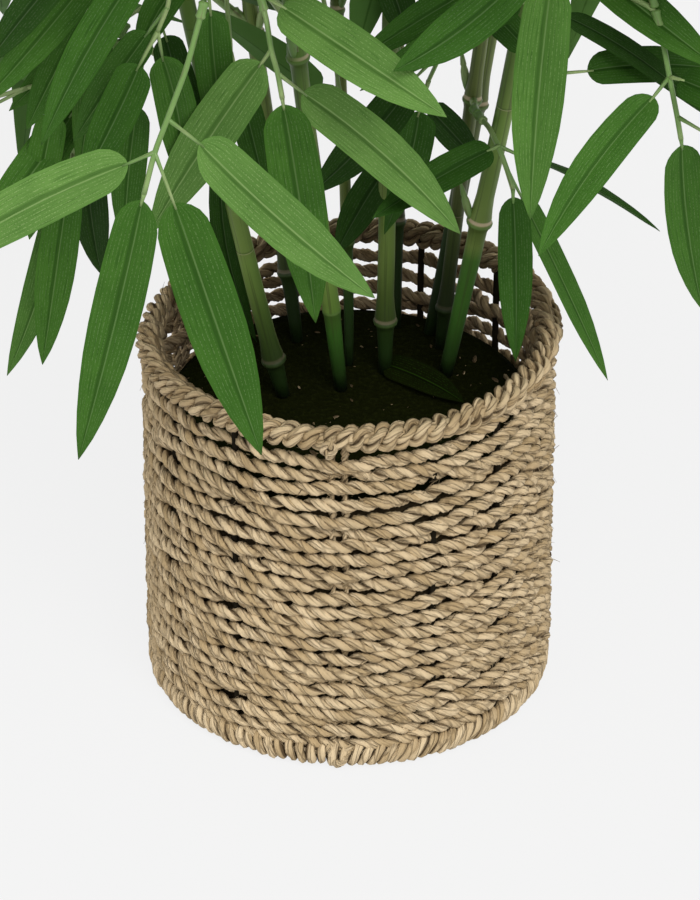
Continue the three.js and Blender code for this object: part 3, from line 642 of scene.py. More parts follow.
def veins_group():
    """Printed veins of a leaf from the place across it (0 to 1) and along it in metres: a pale
    midrib beside a broad dark groove, and rows of fine pale dashes on both sides."""
    group, given, result = new_group(
        "leaf_veins", [], {"Across": 0.5, "Along": 0.0}, ["Midrib", "Groove", "Dashes"])
    centred = maths(group, "SUBTRACT", given["Across"], 0.5)
    away = maths(group, "ABSOLUTE", centred)
    from_midrib = maths(group, "ABSOLUTE", maths(group, "SUBTRACT", centred, VEINS["midrib_place"]))
    from_groove = maths(group, "ABSOLUTE", maths(group, "ADD", centred, VEINS["groove_place"]))
    rows = maths(group, "ABSOLUTE", maths(group, "SINE", product(group, away, VEINS["rows"])))
    spread = pair(group, product(group, given["Across"], VEINS["dashes_across"]),
                  product(group, given["Along"], VEINS["dashes_along"]))
    chance = noise(group, spread, dimensions="2D")
    dashes = product(group, band(group, rows, *VEINS["row"]), band(group, chance, *VEINS["dash"]))
    inside = between(group, away, *VEINS["inside"])
    group.links.new(band(group, from_midrib, *VEINS["midrib"]), result["Midrib"])
    group.links.new(band(group, from_groove, *VEINS["groove"]), result["Groove"])
    group.links.new(product(group, dashes, inside), result["Dashes"])
    return group


def tint(colour, factors):
    """A colour whose red, green and blue are multiplied by factors, as a socket value."""
    return tuple(min(part * factor, 1.0) for part, factor in zip(colour, factors)) + (1.0,)


# Leaf cloth: factors that tint a leaf's own green for each effect, the half one being painted shade
# on one side of the midrib; then the bands of the masks, and how strongly each effect shows
LEAF_TINTS = dict(
    dull=(0.72, 0.76, 0.7), lively=(1.32, 1.22, 1.3), half=(0.6, 0.68, 0.6), line=(0.5, 0.58, 0.45),
    vein=(1.95, 1.45, 2.0), groove=(0.35, 0.42, 0.3), under_groove=(0.6, 0.6, 0.5),
)
LEAF_LOOK = dict(
    roughness=0.72, specular=0.12, back=(1.4, 1.6), patches=0.8, own_tone=0.6, tone_from=-0.2,
    half=(0.48, 0.52), shaded_half_strength=0.25, line=(0.5, 0.15), line_strength=0.8, vein_lift=0.02,
    dash_strength=0.5, groove_strength=0.6, midrib_strength=0.6, under_share=0.45,
    under_groove_strength=0.7, relief=(0.25, 0.0005),
)
LEAF_LINES = {"Lines Across": 52.0, "Lines Along": 60.0, "Contrast": 1.4}
UNDERSIDE_GREEN = (0.105, 0.215, 0.055, 1.0)


def leaf_material(name, streaks, veins, colour, pale=None, **own_look):
    """Printed cloth leaf: its own green with fine lengthwise streaks, painted shade on one half as beside
    a creased midrib, veins on the face, in a paler green or a given one, and a paler, greyer back. The
    strand map is 0 to 1 across the face and 2 to 3 across the back."""
    look = {**LEAF_LOOK, **own_look}
    tints = {effect: tint(colour, factors) for effect, factors in LEAF_TINTS.items()}
    pale = pale or tint(tuple(part + look["vein_lift"] for part in colour), LEAF_TINTS["vein"])
    material, tree, surface = new_material(name, look)
    place = strand_map(tree)
    parts = parts_of(tree, place)
    across = maths(tree, "FRACT", parts[0])
    fine = use_group(tree, streaks, {"Across And Along": place, **LEAF_LINES})
    printed = use_group(tree, veins, {"Across": across, "Along": parts[1]})
    own = maths(tree, "MULTIPLY_ADD", attribute(tree, "tone"), look["own_tone"], look["tone_from"])
    lively = maths(tree, "MULTIPLY_ADD", fine["Patches"], look["patches"], own)
    body = colour_mix(tree, lively, tints["dull"], tints["lively"])
    face = layered(tree, body, [
        # Painted shade on one half of the face, as beside a creased midrib
        (tints["half"], band(tree, across, *look["half"]), look["shaded_half_strength"]),
        (tints["line"], band(tree, fine["Streaks"], *look["line"]), look["line_strength"]),
        (pale, printed["Dashes"], look["dash_strength"]),
        (tints["groove"], printed["Groove"], look["groove_strength"]),
        (pale, printed["Midrib"], look["midrib_strength"]),
    ])
    under = colour_mix(tree, look["under_share"], body, UNDERSIDE_GREEN)
    under = layered(tree, under, [(tints["under_groove"], printed["Groove"], look["under_groove_strength"])])
    turned = colour_mix(tree, band(tree, parts[0], *look["back"]), face, under)
    dress(tree, surface, turned, fine["Streaks"], look["relief"])
    return material


# Surfaces

def lattice(rows, columns):
    """Corner numbers of the quads between neighbouring points of a grid, row by row; the columns
    close on themselves."""
    row = np.arange(rows - 1)[:, None]
    column = np.arange(columns)[None, :]
    right = (column + 1) % columns
    near = row * columns
    far = near + columns
    return np.stack([near + column, near + right, far + right, far + column], -1).reshape(-1, 4)


class Surface:
    """Closed tubes gathered for one piece: points in mm, faces, and a place on the strand map at
    each face's corners."""

    def __init__(self):
        self.points = []
        self.faces = []
        self.maps = []
        self.numbers = {}
        self.creases = []
        self.count = 0

    def add_tubes(self, sections, around, along, turned=(), **numbers):
        """Adds tubes from sections shaped (tube, row, column, 3). around holds the map's value at
        the two sides of each column's quads, along its value at each row (tube, row). The quads of
        turned columns start one corner later, so that they split along the other diagonal. Numbers
        are values that the mesh holds, and spread over tubes and rows."""
        tubes, rows, columns, _ = sections.shape
        turned = np.isin(np.arange(columns), turned)
        quads = lattice(rows, columns)
        quads = np.where(np.tile(turned, rows - 1)[:, None], np.roll(quads, -1, axis=1), quads)
        first = self.count + np.arange(tubes) * rows * columns
        self.faces.append((quads[None] + first[:, None, None]).reshape(-1, 4))
        left, right = (np.broadcast_to(side, (tubes, rows - 1, columns)) for side in around)
        near = np.broadcast_to(along[:, :-1, None], left.shape)
        far = np.broadcast_to(along[:, 1:, None], left.shape)
        corners = np.stack([np.stack([left, near], -1), np.stack([right, near], -1),
                            np.stack([right, far], -1), np.stack([left, far], -1)], 3)
        corners = np.where(turned[:, None, None], np.roll(corners, -1, axis=3), corners)
        self.maps.append(corners.reshape(-1, 2))
        foot = np.arange(columns)[::-1]
        head = np.arange(columns) + (rows - 1) * columns
        for cap, row in ((foot, 0), (head, -1)):
            self.faces.append(first[:, None] + cap[None])
            level = np.repeat(along[:, row], columns)
            self.maps.append(np.stack([np.broadcast_to(left[0, 0, 0], level.shape), level], -1))
        self.points.append(sections.reshape(-1, 3))
        for name, values in numbers.items():
            spread = np.broadcast_to(np.asarray(values, float)[..., None], (tubes, rows, columns))
            self.numbers.setdefault(name, []).append(spread.reshape(-1))
        self.count += tubes * rows * columns

    def sharp_edges(self, ends):
        """Marks the lengthwise edges of the columns that were named as creases."""
        sharp = np.zeros(len(ends), bool)
        for first, last, columns, creased in self.creases:
            inside = (ends.min(axis=1) >= first) & (ends.max(axis=1) < last)
            column = (ends - first) % columns
            lengthwise = (column[:, 0] == column[:, 1]) & np.isin(column[:, 0], creased)
            sharp |= inside & lengthwise
        return sharp

    def piece(self, name, material, slot, nodes):
        """Makes the object: its mesh in metres, riding on the body and standing for CAD nodes."""
        points = np.concatenate(self.points) * MM
        corners = np.concatenate([face.reshape(-1) for face in self.faces])
        sizes = np.concatenate([np.full(len(face), face.shape[1]) for face in self.faces])
        mesh = bpy.data.meshes.new(name)
        mesh.vertices.add(len(points))
        mesh.vertices.foreach_set("co", points.astype(np.float32).ravel())
        mesh.loops.add(len(corners))
        mesh.loops.foreach_set("vertex_index", corners.astype(np.int32))
        mesh.polygons.add(len(sizes))
        mesh.polygons.foreach_set("loop_start", (np.cumsum(sizes) - sizes).astype(np.int32))
        mesh.polygons.foreach_set("use_smooth", np.ones(len(sizes), bool))
        mesh.update(calc_edges=True)
        strand = mesh.uv_layers.new(name="strand")
        strand.data.foreach_set("uv", np.concatenate(self.maps).astype(np.float32).ravel())
        for label, values in self.numbers.items():
            layer = mesh.attributes.new(label, "FLOAT", "POINT")
            layer.data.foreach_set("value", np.concatenate(values).astype(np.float32))
        if self.creases:
            ends = np.zeros(2 * len(mesh.edges), np.int32)
            mesh.edges.foreach_get("vertices", ends)
            sharp = mesh.attributes.new("sharp_edge", "BOOLEAN", "EDGE")
            sharp.data.foreach_set("value", self.sharp_edges(ends.reshape(-1, 2)))
        mesh.materials.append(material)
        made = bpy.data.objects.new(name, mesh)
        bpy.context.scene.collection.objects.link(made)
        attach(made, BODY)
        if nodes:
            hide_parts(*nodes)


def unit(vectors):
    """Vectors divided by their lengths."""
    return vectors / np.linalg.norm(vectors, axis=-1, keepdims=True)


def frames_along(paths, outward):
    """Direction of each path, and the two axes square to it: one nearest to outward, and the one
    that completes them."""
    along = unit(np.gradient(paths, axis=1))
    across = unit(np.cross(along, outward))
    return along, np.cross(across, along), across


def lengths_along(paths):
    """Distance along each path at each of its points."""
    steps = np.linalg.norm(np.diff(paths, axis=1), axis=-1)
    return np.concatenate([np.zeros((len(paths), 1)), np.cumsum(steps, axis=1)], axis=1)


def smooth_path(points, rows):
    """Points spaced evenly along a path of straight spans with its corners rounded: each inner one
    moves to the mean of itself, twice, and its neighbours."""
    points = np.array(points)
    distance = lengths_along(points[None])[0]
    target = np.linspace(0, distance[-1], rows)
    path = np.stack([np.interp(target, distance, points[:, axis]) for axis in range(3)], -1)
    rounded = path.copy()
    rounded[1:-1] = (path[:-2] + 2 * path[1:-1] + path[2:]) / 4
    return rounded


# A wandering line: what is added to a wave's number before its height is divided by it, and what
# the sum of the waves is divided by
WANDER_START = 1.5
WANDER_SCALE = 1.6


def wander(values, seed, waves=5):
    """A smooth random line from about -1 to 1: sines of rising frequency with random phases."""
    dice = np.random.default_rng(seed)
    total = np.zeros_like(values, dtype=float)
    for wave in range(waves):
        frequency = wave + 1 + dice.random()
        total += np.sin(values * frequency + TURN * dice.random()) / (wave + WANDER_START)
    return total / WANDER_SCALE


def wavering(values, line, step=0):
    """A wandering line from its size, its pace, its seed and its number of waves."""
    size, pace, seed, waves = line
    return size * wander(values * pace, seed + step, waves)


# How a ply changes along its cord: the size of the change, the mm of cord to a radian of it, and
# how far its seed is from the cord's own. Drift and twist are turns in radians, the others shares.
PLY_NOISE = dict(
    drift=(1.1, 37.0, 0), slow=(0.17, 6.0, 11), quick=(0.09, 1.9, 31), long=(0.08, 31.0, 71),
    twist=(2.5, 9.0, 51),
)
PLY_RIDGES = 3
RIDGE_HEIGHT = 0.08

# What a cord is like where it doesn't say so: sides and number of its plies, and how much of the
# strand map's width a ply takes up
CORD = dict(sides=8, plies=2, seam=1.0)

# How far the strand map moves on from one ply or limb to the next, so that no two look alike
PLY_MAP_STEP = 3.7
LIMB_MAP_STEP = 0.37


def ply_noise(kind, distance, seed):
    """One change of a ply along its cord."""
    size, length, step = PLY_NOISE[kind]
    return size * wander(distance / length, seed + step)


def add_cord(surface, paths, outward, cord, number=0):
    """Plies wound round each path: a ply's centre circles the path at the lay radius once per
    pitch, and its ridged section, square to that helix, grows fuller and leaner at random. The
    number tells cords of one kind apart. The strand map starts on the side where the plies meet."""
    cord = {**CORD, **cord}
    pitch, lay, sides, plies = (cord[name] for name in ("pitch", "lay", "sides", "plies"))
    seed = cord["seed"] + number
    along, first, second = frames_along(paths, outward)
    first = first[:, :, None]
    second = np.cross(along[:, :, None], first)
    distance = lengths_along(paths)
    slope = math.atan(TURN * lay / pitch)
    column = np.arange(sides)
    angle = np.pi + TURN * column / sides
    cosine = np.cos(angle)[None, None, :, None]
    sine = np.sin(angle)[None, None, :, None]
    for ply in range(plies):
        drift = ply_noise("drift", distance, seed + ply)
        turn = (TURN * distance / pitch + TURN * ply / plies + drift)[..., None, None]
        away = np.cos(turn) * first + np.sin(turn) * second
        round_it = -np.sin(turn) * first + np.cos(turn) * second
        tilted = round_it * math.cos(slope) - along[:, :, None] * math.sin(slope)
        full = 1 + ply_noise("slow", distance, seed + ply)
        full += ply_noise("quick", distance, seed + ply)
        full += ply_noise("long", distance, seed)
        twist = ply_noise("twist", distance, seed + ply)[..., None]
        ridge = 1 + RIDGE_HEIGHT * np.sin(PLY_RIDGES * angle + twist)
        reach = (cord["ply"] * full[..., None] * ridge)[..., None]
        sections = paths[:, :, None] + lay * away + reach * (cosine * away + sine * tilted)
        level = distance * MM + PLY_MAP_STEP * ply + np.arange(len(paths))[:, None]
        left, right = (0.5 + cord["seam"] * (place / sides - 0.5) for place in (column, column + 1))
        surface.add_tubes(sections, (left, right), level)


# A direction that no limb runs along, which sets where a limb's section starts
SKEW_AXIS = np.array([0.31, 0.95, 0.05])


def limb_axes(along):
    """Two directions square to a limb's own and to each other."""
    across = unit(np.cross(SKEW_AXIS, along))
    return across, np.cross(along, across)


def add_limbs(surface, paths, radii, sides, **numbers):
    """Round tubes along paths shaped (tube, row, 3). Radii and numbers spread over tubes and rows."""
    radii = np.broadcast_to(radii, paths.shape[:2])
    across, up = limb_axes(unit(np.gradient(paths, axis=1)))
    column = np.arange(sides)
    angle = (TURN * column / sides)[None, None, :, None]
    sections = paths[:, :, None] + radii[..., None, None] * (
        np.cos(angle) * across[:, :, None] + np.sin(angle) * up[:, :, None])
    level = lengths_along(paths) * MM + np.arange(len(paths))[:, None] * LIMB_MAP_STEP
    surface.add_tubes(sections, (column / sides, (column + 1) / sides), level, **numbers)


# Basket

def ring_direction(azimuth):
    """Unit vectors that point outwards at azimuths in radians."""
    return np.stack([np.cos(azimuth), np.sin(azimuth), np.zeros_like(azimuth)], -1)


def rim_warp(azimuth):
    """How far the rim stands above or below its level, at azimuths in radians: a lift on one side and
    a dip on another, each with the square of the cosine of the angle from there."""
    dip = np.maximum(np.cos(azimuth - math.radians(RIM_DIP["azimuth"])), 0) ** 2
    lift = np.maximum(np.cos(azimuth - math.radians(RIM_LIFT["azimuth"])), 0) ** 2
    return RIM_LIFT["height"] * lift - RIM_DIP["depth"] * dip


# Weft: its turns and heights, how far it weaves in and out, how it closes up and bows, and its cord
WEFT = dict(
    turns=24, samples_per_turn=360, pieces=3, low=8.2, high=183.5, opening=0.14,
    tuck=2.6, depth=2.3, over_stake=0.2, dip_reach=19.0, inside_every=4, closing=1.7,
    bow=3.6, bow_azimuth=-93, bow_from=0.9, bow_power=6,
    pitch=17.5, ply=2.24, lay=1.5, seed=100,
)

# How the weft wavers up and out, and how its rows swell: size in mm, pace, seed and waves
WEFT_UP = (1.8, 2.3, 5, 9)
WEFT_OUT = (0.45, 3.1, 6, 7)
WEFT_SWELL = (1.5, 1.0, 8, 3)
SWELL_TURNS = 2.2


def stake_meetings(azimuth):
    """How near each place on the weft is to the closest stake, as half a cosine wave from 0 between
    two stakes to 1 at one, and the running number of that stake."""
    stakes = np.sort(np.radians(STAKE_AZIMUTHS) % TURN)
    turns = int(azimuth[-1] / TURN) + 2
    places = (stakes[None] + TURN * np.arange(-1, turns)[:, None]).ravel()
    nearest = np.searchsorted((places[1:] + places[:-1]) / 2, azimuth)
    gap = np.abs(azimuth - places[nearest]) * WEAVE_RADIUS
    near = (1 + np.cos(np.pi * np.clip(gap / WEFT["dip_reach"], 0, 1))) / 2
    return near, nearest


def passes_inside(stake):
    """1 at every fourth stake that the weft meets, where it passes inside, and 0 at the others."""
    return (stake % WEFT["inside_every"] == 0) * 1.0


def weft_path():
    """The one long weft: it climbs the basket on a spiral, closer at the foot than at the top,
    outside three stakes and inside the fourth. Its first turn is tucked in behind the border. Rows
    close up over a row that passes inside, bow down from the rim at the front, and waver a
    little."""
    samples = WEFT["samples_per_turn"]
    azimuth = TURN * np.arange(int(WEFT["turns"] * samples) + 1) / samples
    share = azimuth / azimuth[-1]
    near, stake = stake_meetings(azimuth)
    inside = passes_inside(stake)
    above = passes_inside(stake + len(STAKE_AZIMUTHS))
    below = passes_inside(stake - len(STAKE_AZIMUTHS))
    height = WEFT["low"] + (WEFT["high"] - WEFT["low"]) * (share + WEFT["opening"] * (share ** 3 - share))
    height += rim_warp(azimuth) * share
    height += WEFT["closing"] * near * (above - below)
    height += wavering(azimuth, WEFT_UP)
    height += wavering(azimuth % TURN, WEFT_SWELL) * np.sin(TURN * share * SWELL_TURNS)
    front = np.maximum(np.cos(azimuth - math.radians(WEFT["bow_azimuth"])), 0) ** WEFT["bow_power"]
    height -= WEFT["bow"] * front * np.clip((share - WEFT["bow_from"]) / (1 - WEFT["bow_from"]), 0, 1)
    depth = 1 - near * (2 * inside - WEFT["over_stake"] * (1 - inside))
    radius = WEAVE_RADIUS + WEFT["depth"] * depth
    radius += wavering(azimuth, WEFT_OUT)
    radius -= WEFT["tuck"] * np.clip(1 - azimuth / TURN, 0, 1)
    path = ring_direction(azimuth) * radius[:, None]
    path[:, 2] = height
    return path, ring_direction(azimuth)


def make_weave(material):
    """The weft as a few pieces of the one cord, end to end."""
    path, outward = weft_path()
    edges = np.linspace(0, len(path) - 1, WEFT["pieces"] + 1).astype(int)
    for number, (start, end) in enumerate(zip(edges[:-1], edges[1:])):
        surface = Surface()
        add_cord(surface, path[None, start:end + 1], outward[None, start:end + 1], WEFT, number)
        surface.piece(f"weft_{number + 1}", material, "seagrass", ["basket_wall"])


# Loops of cord wound round a ring: how their turn and their size waver (size, pace, seed, waves),
# and how quickly their lean changes over at the front
LOOP_TURN = (0.35, 17, 60, 6)
LOOP_SWELL = (0.1, 23, 70, 6)
LEAN_CHANGE = 4


def overcast_paths(wrap):
    """Cord wound round a hidden ring: its place in the section turns as it goes round the basket.
    Each start is one path, with the direction away from the ring's centre. Loops that lean do so
    away from the front on both sides of it. A warped ring follows the rim."""
    steps = wrap["wraps"] * wrap["per_wrap"]
    even = TURN * np.arange(steps + 1) / steps
    paths, directions = [], []
    for start in range(wrap["starts"]):
        turn = wrap["wraps"] * even + TURN * start / wrap["starts"] + wavering(even, LOOP_TURN, start)
        swell = 1 + wavering(even, LOOP_SWELL, start)
        side = np.clip(LEAN_CHANGE * np.sin(even - math.radians(WEFT["bow_azimuth"])), -1, 1)
        azimuth = even + wrap["lean"] * side * np.sin(turn)
        outward = ring_direction(azimuth)
        path = outward * (wrap["radius"] + wrap["half_width"] * np.cos(turn) * swell)[:, None]
        path[:, 2] = wrap["level"] + wrap["half_height"] * np.sin(turn) * swell
        path[:, 2] += rim_warp(azimuth) * wrap["warped"]
        paths.append(path)
        directions.append(outward * np.cos(turn)[:, None] + UPWARD * np.sin(turn)[:, None])
    return np.stack(paths), np.stack(directions)


RING_POINTS = 181
CORE_SIDES = 8


def add_core(surface, wrap):
    """The hidden ring that cord is wound round."""
    azimuth = np.linspace(0, TURN, RING_POINTS)
    path = ring_direction(azimuth) * wrap["radius"]
    path[:, 2] = wrap["level"] + rim_warp(azimuth) * wrap["warped"]
    add_limbs(surface, path[None], wrap["core"], CORE_SIDES)


# Rim: two cords wound side by side round a thick ring
RIM_WRAP = dict(
    wraps=41, starts=2, per_wrap=22, lean=0.0, radius=RIM_RADIUS, level=RIM_LEVEL,
    warped=True, half_width=3.8, half_height=3.8, core=3.4, pitch=14.0, ply=1.95, lay=1.5, seed=200,
)


def make_rim(material):
    """The overcast ring at the top of the basket."""
    surface = Surface()
    add_cord(surface, *overcast_paths(RIM_WRAP), RIM_WRAP)
    add_core(surface, RIM_WRAP)
    surface.piece("rim_overcast", material, "rim_rope", ["basket_rim"])


# Border: loops of single strand, which bulges a little to the front; its pitch is endless because a
# strand has nothing to wind round
BORDER_WRAP = dict(
    wraps=118, starts=1, per_wrap=16, lean=0.026, radius=97.3, level=6.7, warped=False, half_width=2.5,
    half_height=4.25, core=2.6, pitch=1e6, ply=2.3, lay=0.0, seed=300, plies=1, seam=1.4,
    bulge=2.1, bulge_azimuth=-98,
)

# Loops where the cord stake at the front is tied in: azimuth in degrees, radius and height
KNOTS = [
    [(-96.0, 100.5, 13), (-94.6, 103.0, 6), (-93.0, 104.2, 2.9), (-91.4, 103.0, 6), (-90.0, 100.5, 13)],
    [(-95.4, 104.2, 195), (-97.0, 104.6, 190), (-95.5, 104.8, 185.5), (-94.0, 104.6, 190),
     (-95.6, 104.2, 195)],
]
KNOT_CORD = dict(pitch=9.0, ply=1.3, lay=0.9, seed=320, rows=26)


def make_border(material):
    """Plump loops of single strand round the lowest ring, and the knots at the front."""
    surface = Surface()
    paths, away = overcast_paths(BORDER_WRAP)
    turned = np.arctan2(paths[..., 1], paths[..., 0]) - math.radians(BORDER_WRAP["bulge_azimuth"])
    paths[..., :2] *= (1 + BORDER_WRAP["bulge"] * np.cos(turned) / BORDER_WRAP["radius"])[..., None]
    add_cord(surface, paths, away, BORDER_WRAP)
    for knot in KNOTS:
        azimuth, radius, level = np.array(knot).T
        path = ring_direction(np.radians(azimuth)) * radius[:, None]
        path[:, 2] = level
        path = smooth_path(path, KNOT_CORD["rows"])
        add_cord(surface, path[None], unit(path * (1 - UPWARD))[None], KNOT_CORD)
    add_core(surface, BORDER_WRAP)
    surface.piece("base_border", material, "seagrass", ["basket_wall"])


# Stakes: the cords of a pair stand apart to each side, and a stake wavers by radians round the
# basket, with a length in mm of height to a radian of the wave
STAKES = dict(
    rows=60, foot=4.0, apart=3.2, waver=0.006, waver_length=30, wire=1.7, wire_sides=8,
    pitch=11.0, ply=1.35, lay=1.05, seed=400, sides=7,
)


def make_stakes(cord, wire):
    """Upright stakes between the rows: pairs of cords or single dark wires."""
    level = np.linspace(STAKES["foot"], RIM_LEVEL, STAKES["rows"])
    cords, wires = Surface(), Surface()
    for number, azimuth in enumerate(np.radians(STAKE_AZIMUTHS)):
        paired = number in CORD_STAKES
        waver = STAKES["waver"] * wander(level / STAKES["waver_length"], number)
        for side in ((-1, 1) if paired else (0,)):
            turned = azimuth + side * STAKES["apart"] / WEAVE_RADIUS + waver
            path = ring_direction(turned) * WEAVE_RADIUS
            path[:, 2] = level + rim_warp(turned) * level / BASKET_HEIGHT
            if paired:
                add_cord(cords, path[None], ring_direction(turned)[None], STAKES, number)
            else:
                add_limbs(wires, path[None], STAKES["wire"], STAKES["wire_sides"])
    cords.piece("cord_stakes", cord, "seagrass", ["basket_wall"])
    wires.piece("wire_stakes", wire, "seagrass", ["basket_wall"])


# Loose fibres: how many, how high up (crowded towards the top), how far off the wall, the shares of
# their lie and their curl, and their length and thickness in mm
FIBRES = dict(
    count=400, seed=77, lowest=10, rise=185, crowding=0.8, root=3.0, clear=3.2,
    outward=0.35, upward=0.6, fall=0.8, bend=0.45, shortest=3.0, longer=7.0,
    thinnest=0.16, thicker=0.2, taper=0.7, rows=7, sides=4,
)


def make_fibres(material):
    """Loose ends of seagrass: thin curved hairs that stand off the wall and the rim."""
    dice = np.random.default_rng(FIBRES["seed"])
    count = FIBRES["count"]
    azimuth = TURN * dice.random(count)
    level = FIBRES["lowest"] + FIBRES["rise"] * dice.random(count) ** FIBRES["crowding"]
    outward = ring_direction(azimuth)
    sideways = np.cross(UPWARD, outward)
    root = outward * (WEAVE_RADIUS + FIBRES["root"]) + UPWARD * level[:, None]
    lie = dice.normal(size=(count, 3))
    direction = unit(outward * FIBRES["outward"] + sideways * lie[:, :1]
                     + UPWARD * lie[:, 1:2] * FIBRES["upward"])
    curl = unit(sideways * lie[:, 2:3] - UPWARD * FIBRES["fall"])
    reach = (FIBRES["shortest"] + FIBRES["longer"] * dice.random(count))[:, None, None]
    share = np.linspace(0, 1, FIBRES["rows"])[None, :, None]
    bend = FIBRES["bend"] * curl[:, None] * share ** 2
    paths = root[:, None] + reach * (direction[:, None] * share + bend)
    away = np.linalg.norm(paths[..., :2], axis=-1)
    paths[..., :2] *= (np.maximum(away, WEAVE_RADIUS + FIBRES["clear"]) / away)[..., None]
    thickness = (FIBRES["thinnest"] + FIBRES["thicker"] * dice.random(count))[:, None]
    surface = Surface()
    add_limbs(surface, paths, thickness * (1 - FIBRES["taper"] * share[..., 0]), FIBRES["sides"])
    surface.piece("loose_fibres", material, "seagrass", [])


# Inner pot; the centre is the radius of the innermost ring of its top
POT = dict(foot=3.0, shoulder=4, chamfer=1.2, centre=0.6, rings=46, columns=144)

# Relief of the filling: each wandering line's height, the mm along X and along Y to a radian of it,
# and its seed
RELIEF = [(0.55, 5, 9, 21), (0.45, -7, 4, 22)]
RELIEF_WAVES = 7


def make_filling(material):
    """The inner pot, turned round the axis, with an uneven top."""
    shoulder, chamfer = POT["shoulder"], POT["chamfer"]
    side = np.array([[POT_RADIUS, POT["foot"]], [POT_RADIUS, FILL_TOP - shoulder],
                     [POT_RADIUS - chamfer, FILL_TOP - chamfer]])
    radii = np.linspace(POT_RADIUS - shoulder, POT["centre"], POT["rings"])
    profile = np.concatenate([side, np.stack([radii, np.full(POT["rings"], FILL_TOP)], -1)])
    share = np.arange(POT["columns"]) / POT["columns"]
    grid = ring_direction(TURN * np.arange(POT["columns"]) / POT["columns"])[None] * profile[:, :1, None]
    relief = sum(height * wander(grid[..., 0] / across + grid[..., 1] / back, seed, RELIEF_WAVES)
                 for height, across, back, seed in RELIEF)
    grid[..., 2] = profile[:, 1:] + relief * (profile[:, 1:] >= FILL_TOP)
    surface = Surface()
    level = np.linspace(0, 1, len(profile))[None]
    surface.add_tubes(grid[None], (share, share + 1 / POT["columns"]), level)
    surface.piece("filling", material, "filling", ["filled_inner_pot"])


# Crumbs: their sizes in mm, the larger the rarer, and length and thickness as shares of the size
CRUMBS = dict(
    count=110, seed=31, from_edge=6, above=0.3, smallest=0.7, larger=3.6, rarity=4,
    length=1.6, thickness=0.33, sides=5,
)
CRUMB_SHAPE = np.array([(0.0, 0.3), (0.3, 1.0), (0.75, 0.8), (1.0, 0.25)])


def make_crumbs(material):
    """Chips of seagrass that fell on the filling, most of them tiny and pressed into it."""
    dice = np.random.default_rng(CRUMBS["seed"])
    count = CRUMBS["count"]
    azimuth = TURN * dice.random(count)
    radius = (POT_RADIUS - CRUMBS["from_edge"]) * np.sqrt(dice.random(count))
    place = ring_direction(azimuth) * radius[:, None]
    place[:, 2] = FILL_TOP + CRUMBS["above"]
    lie = ring_direction(TURN * dice.random(count))
    size = (CRUMBS["smallest"] + CRUMBS["larger"] * dice.random(count) ** CRUMBS["rarity"])[:, None]
    paths = place[:, None] + lie[:, None] * (CRUMB_SHAPE[:, 0] * size * CRUMBS["length"])[..., None]
    surface = Surface()
    add_limbs(surface, paths, CRUMB_SHAPE[:, 1] * size * CRUMBS["thickness"], CRUMBS["sides"])
    surface.piece("seagrass_crumbs", material, "seagrass", [])


# Canes

def cane_points(cane, height):
    """Centre line of a cane at heights in mm: a straight lean plus a bow that grows as the
    square of the share of its height."""
    height = np.asarray(height, float)
    rise = height - FILL_TOP
    share = rise / (cane["tip"] - FILL_TOP)
    x = cane["foot"][0] + cane["lean"][0] * rise + cane["bow"][0] * share ** 2
    y = cane["foot"][1] + cane["lean"][1] * rise + cane["bow"][1] * share ** 2
    return np.stack([x, y, height], -1)


def cane_radius(cane, height):
    """Radius of a cane without its rings: it shrinks from the foot's with the square of the share
    of its height, to CANE_TIP_SHARE of that at the tip."""
    share = (height - FILL_TOP) / (cane["tip"] - FILL_TOP)
    return cane["radius"] * (1 - (1 - CANE_TIP_SHARE) * share * share)


def cane_rings(cane):
    """Heights of a cane's rings: even steps from the lowest one to a little below the tip."""
    return np.arange(FILL_TOP + cane["ring"], cane["tip"] - RING_FREE_TIP, cane["spacing"])


# Heights from a ring in mm, and how wide the cane is there as a share of its radius; the share
# between rings, and how much of a ring's swelling a faint one has
RING_PROFILE = np.array([
    (-13, 0.85), (-5, 0.89), (-2.6, 1.03), (-1.6, 1.19), (-0.4, 1.24), (0.4, 1.14), (1.4, 1.06), (2.6, 1.07),
    (3.8, 1.03), (8, 0.94), (15, 0.85),
])
BETWEEN_RINGS = 0.85
FAINT_SWELL = 0.25

# Height of a cane's green foot, how narrow the foot gets, and how far past that height the green ends
FOOT_SLEEVE = 76
FOOT_TAPER = 0.76
SLEEVE_EDGE = 0.5

# Mesh of a cane, whose even steps give way to the ring's profile near a ring; then how its path
# wavers, and the mm of height to a radian and the seed of each of the two lines for that
CANE_MESH = dict(foot=0.4, step=12.0, near_ring=16, lowest=1, sides=20)
CANE_WAVER = 0.25
CANE_WAVES = [(40, 0), (44, 20)]


def cane_heights(cane, rings):
    """Heights of a cane's sections: even steps up to the tip, replaced near each ring by the places
    of the ring's profile."""
    plain = np.arange(FILL_TOP + CANE_MESH["foot"], cane["tip"], CANE_MESH["step"])
    near = np.abs(plain[:, None] - rings[None]).min(axis=1) < CANE_MESH["near_ring"]
    detail = (rings[:, None] + RING_PROFILE[None, :, 0]).ravel()
    detail = detail[detail > FILL_TOP + CANE_MESH["lowest"]]
    return np.unique(np.concatenate([plain[~near], detail, [cane["tip"]]]))


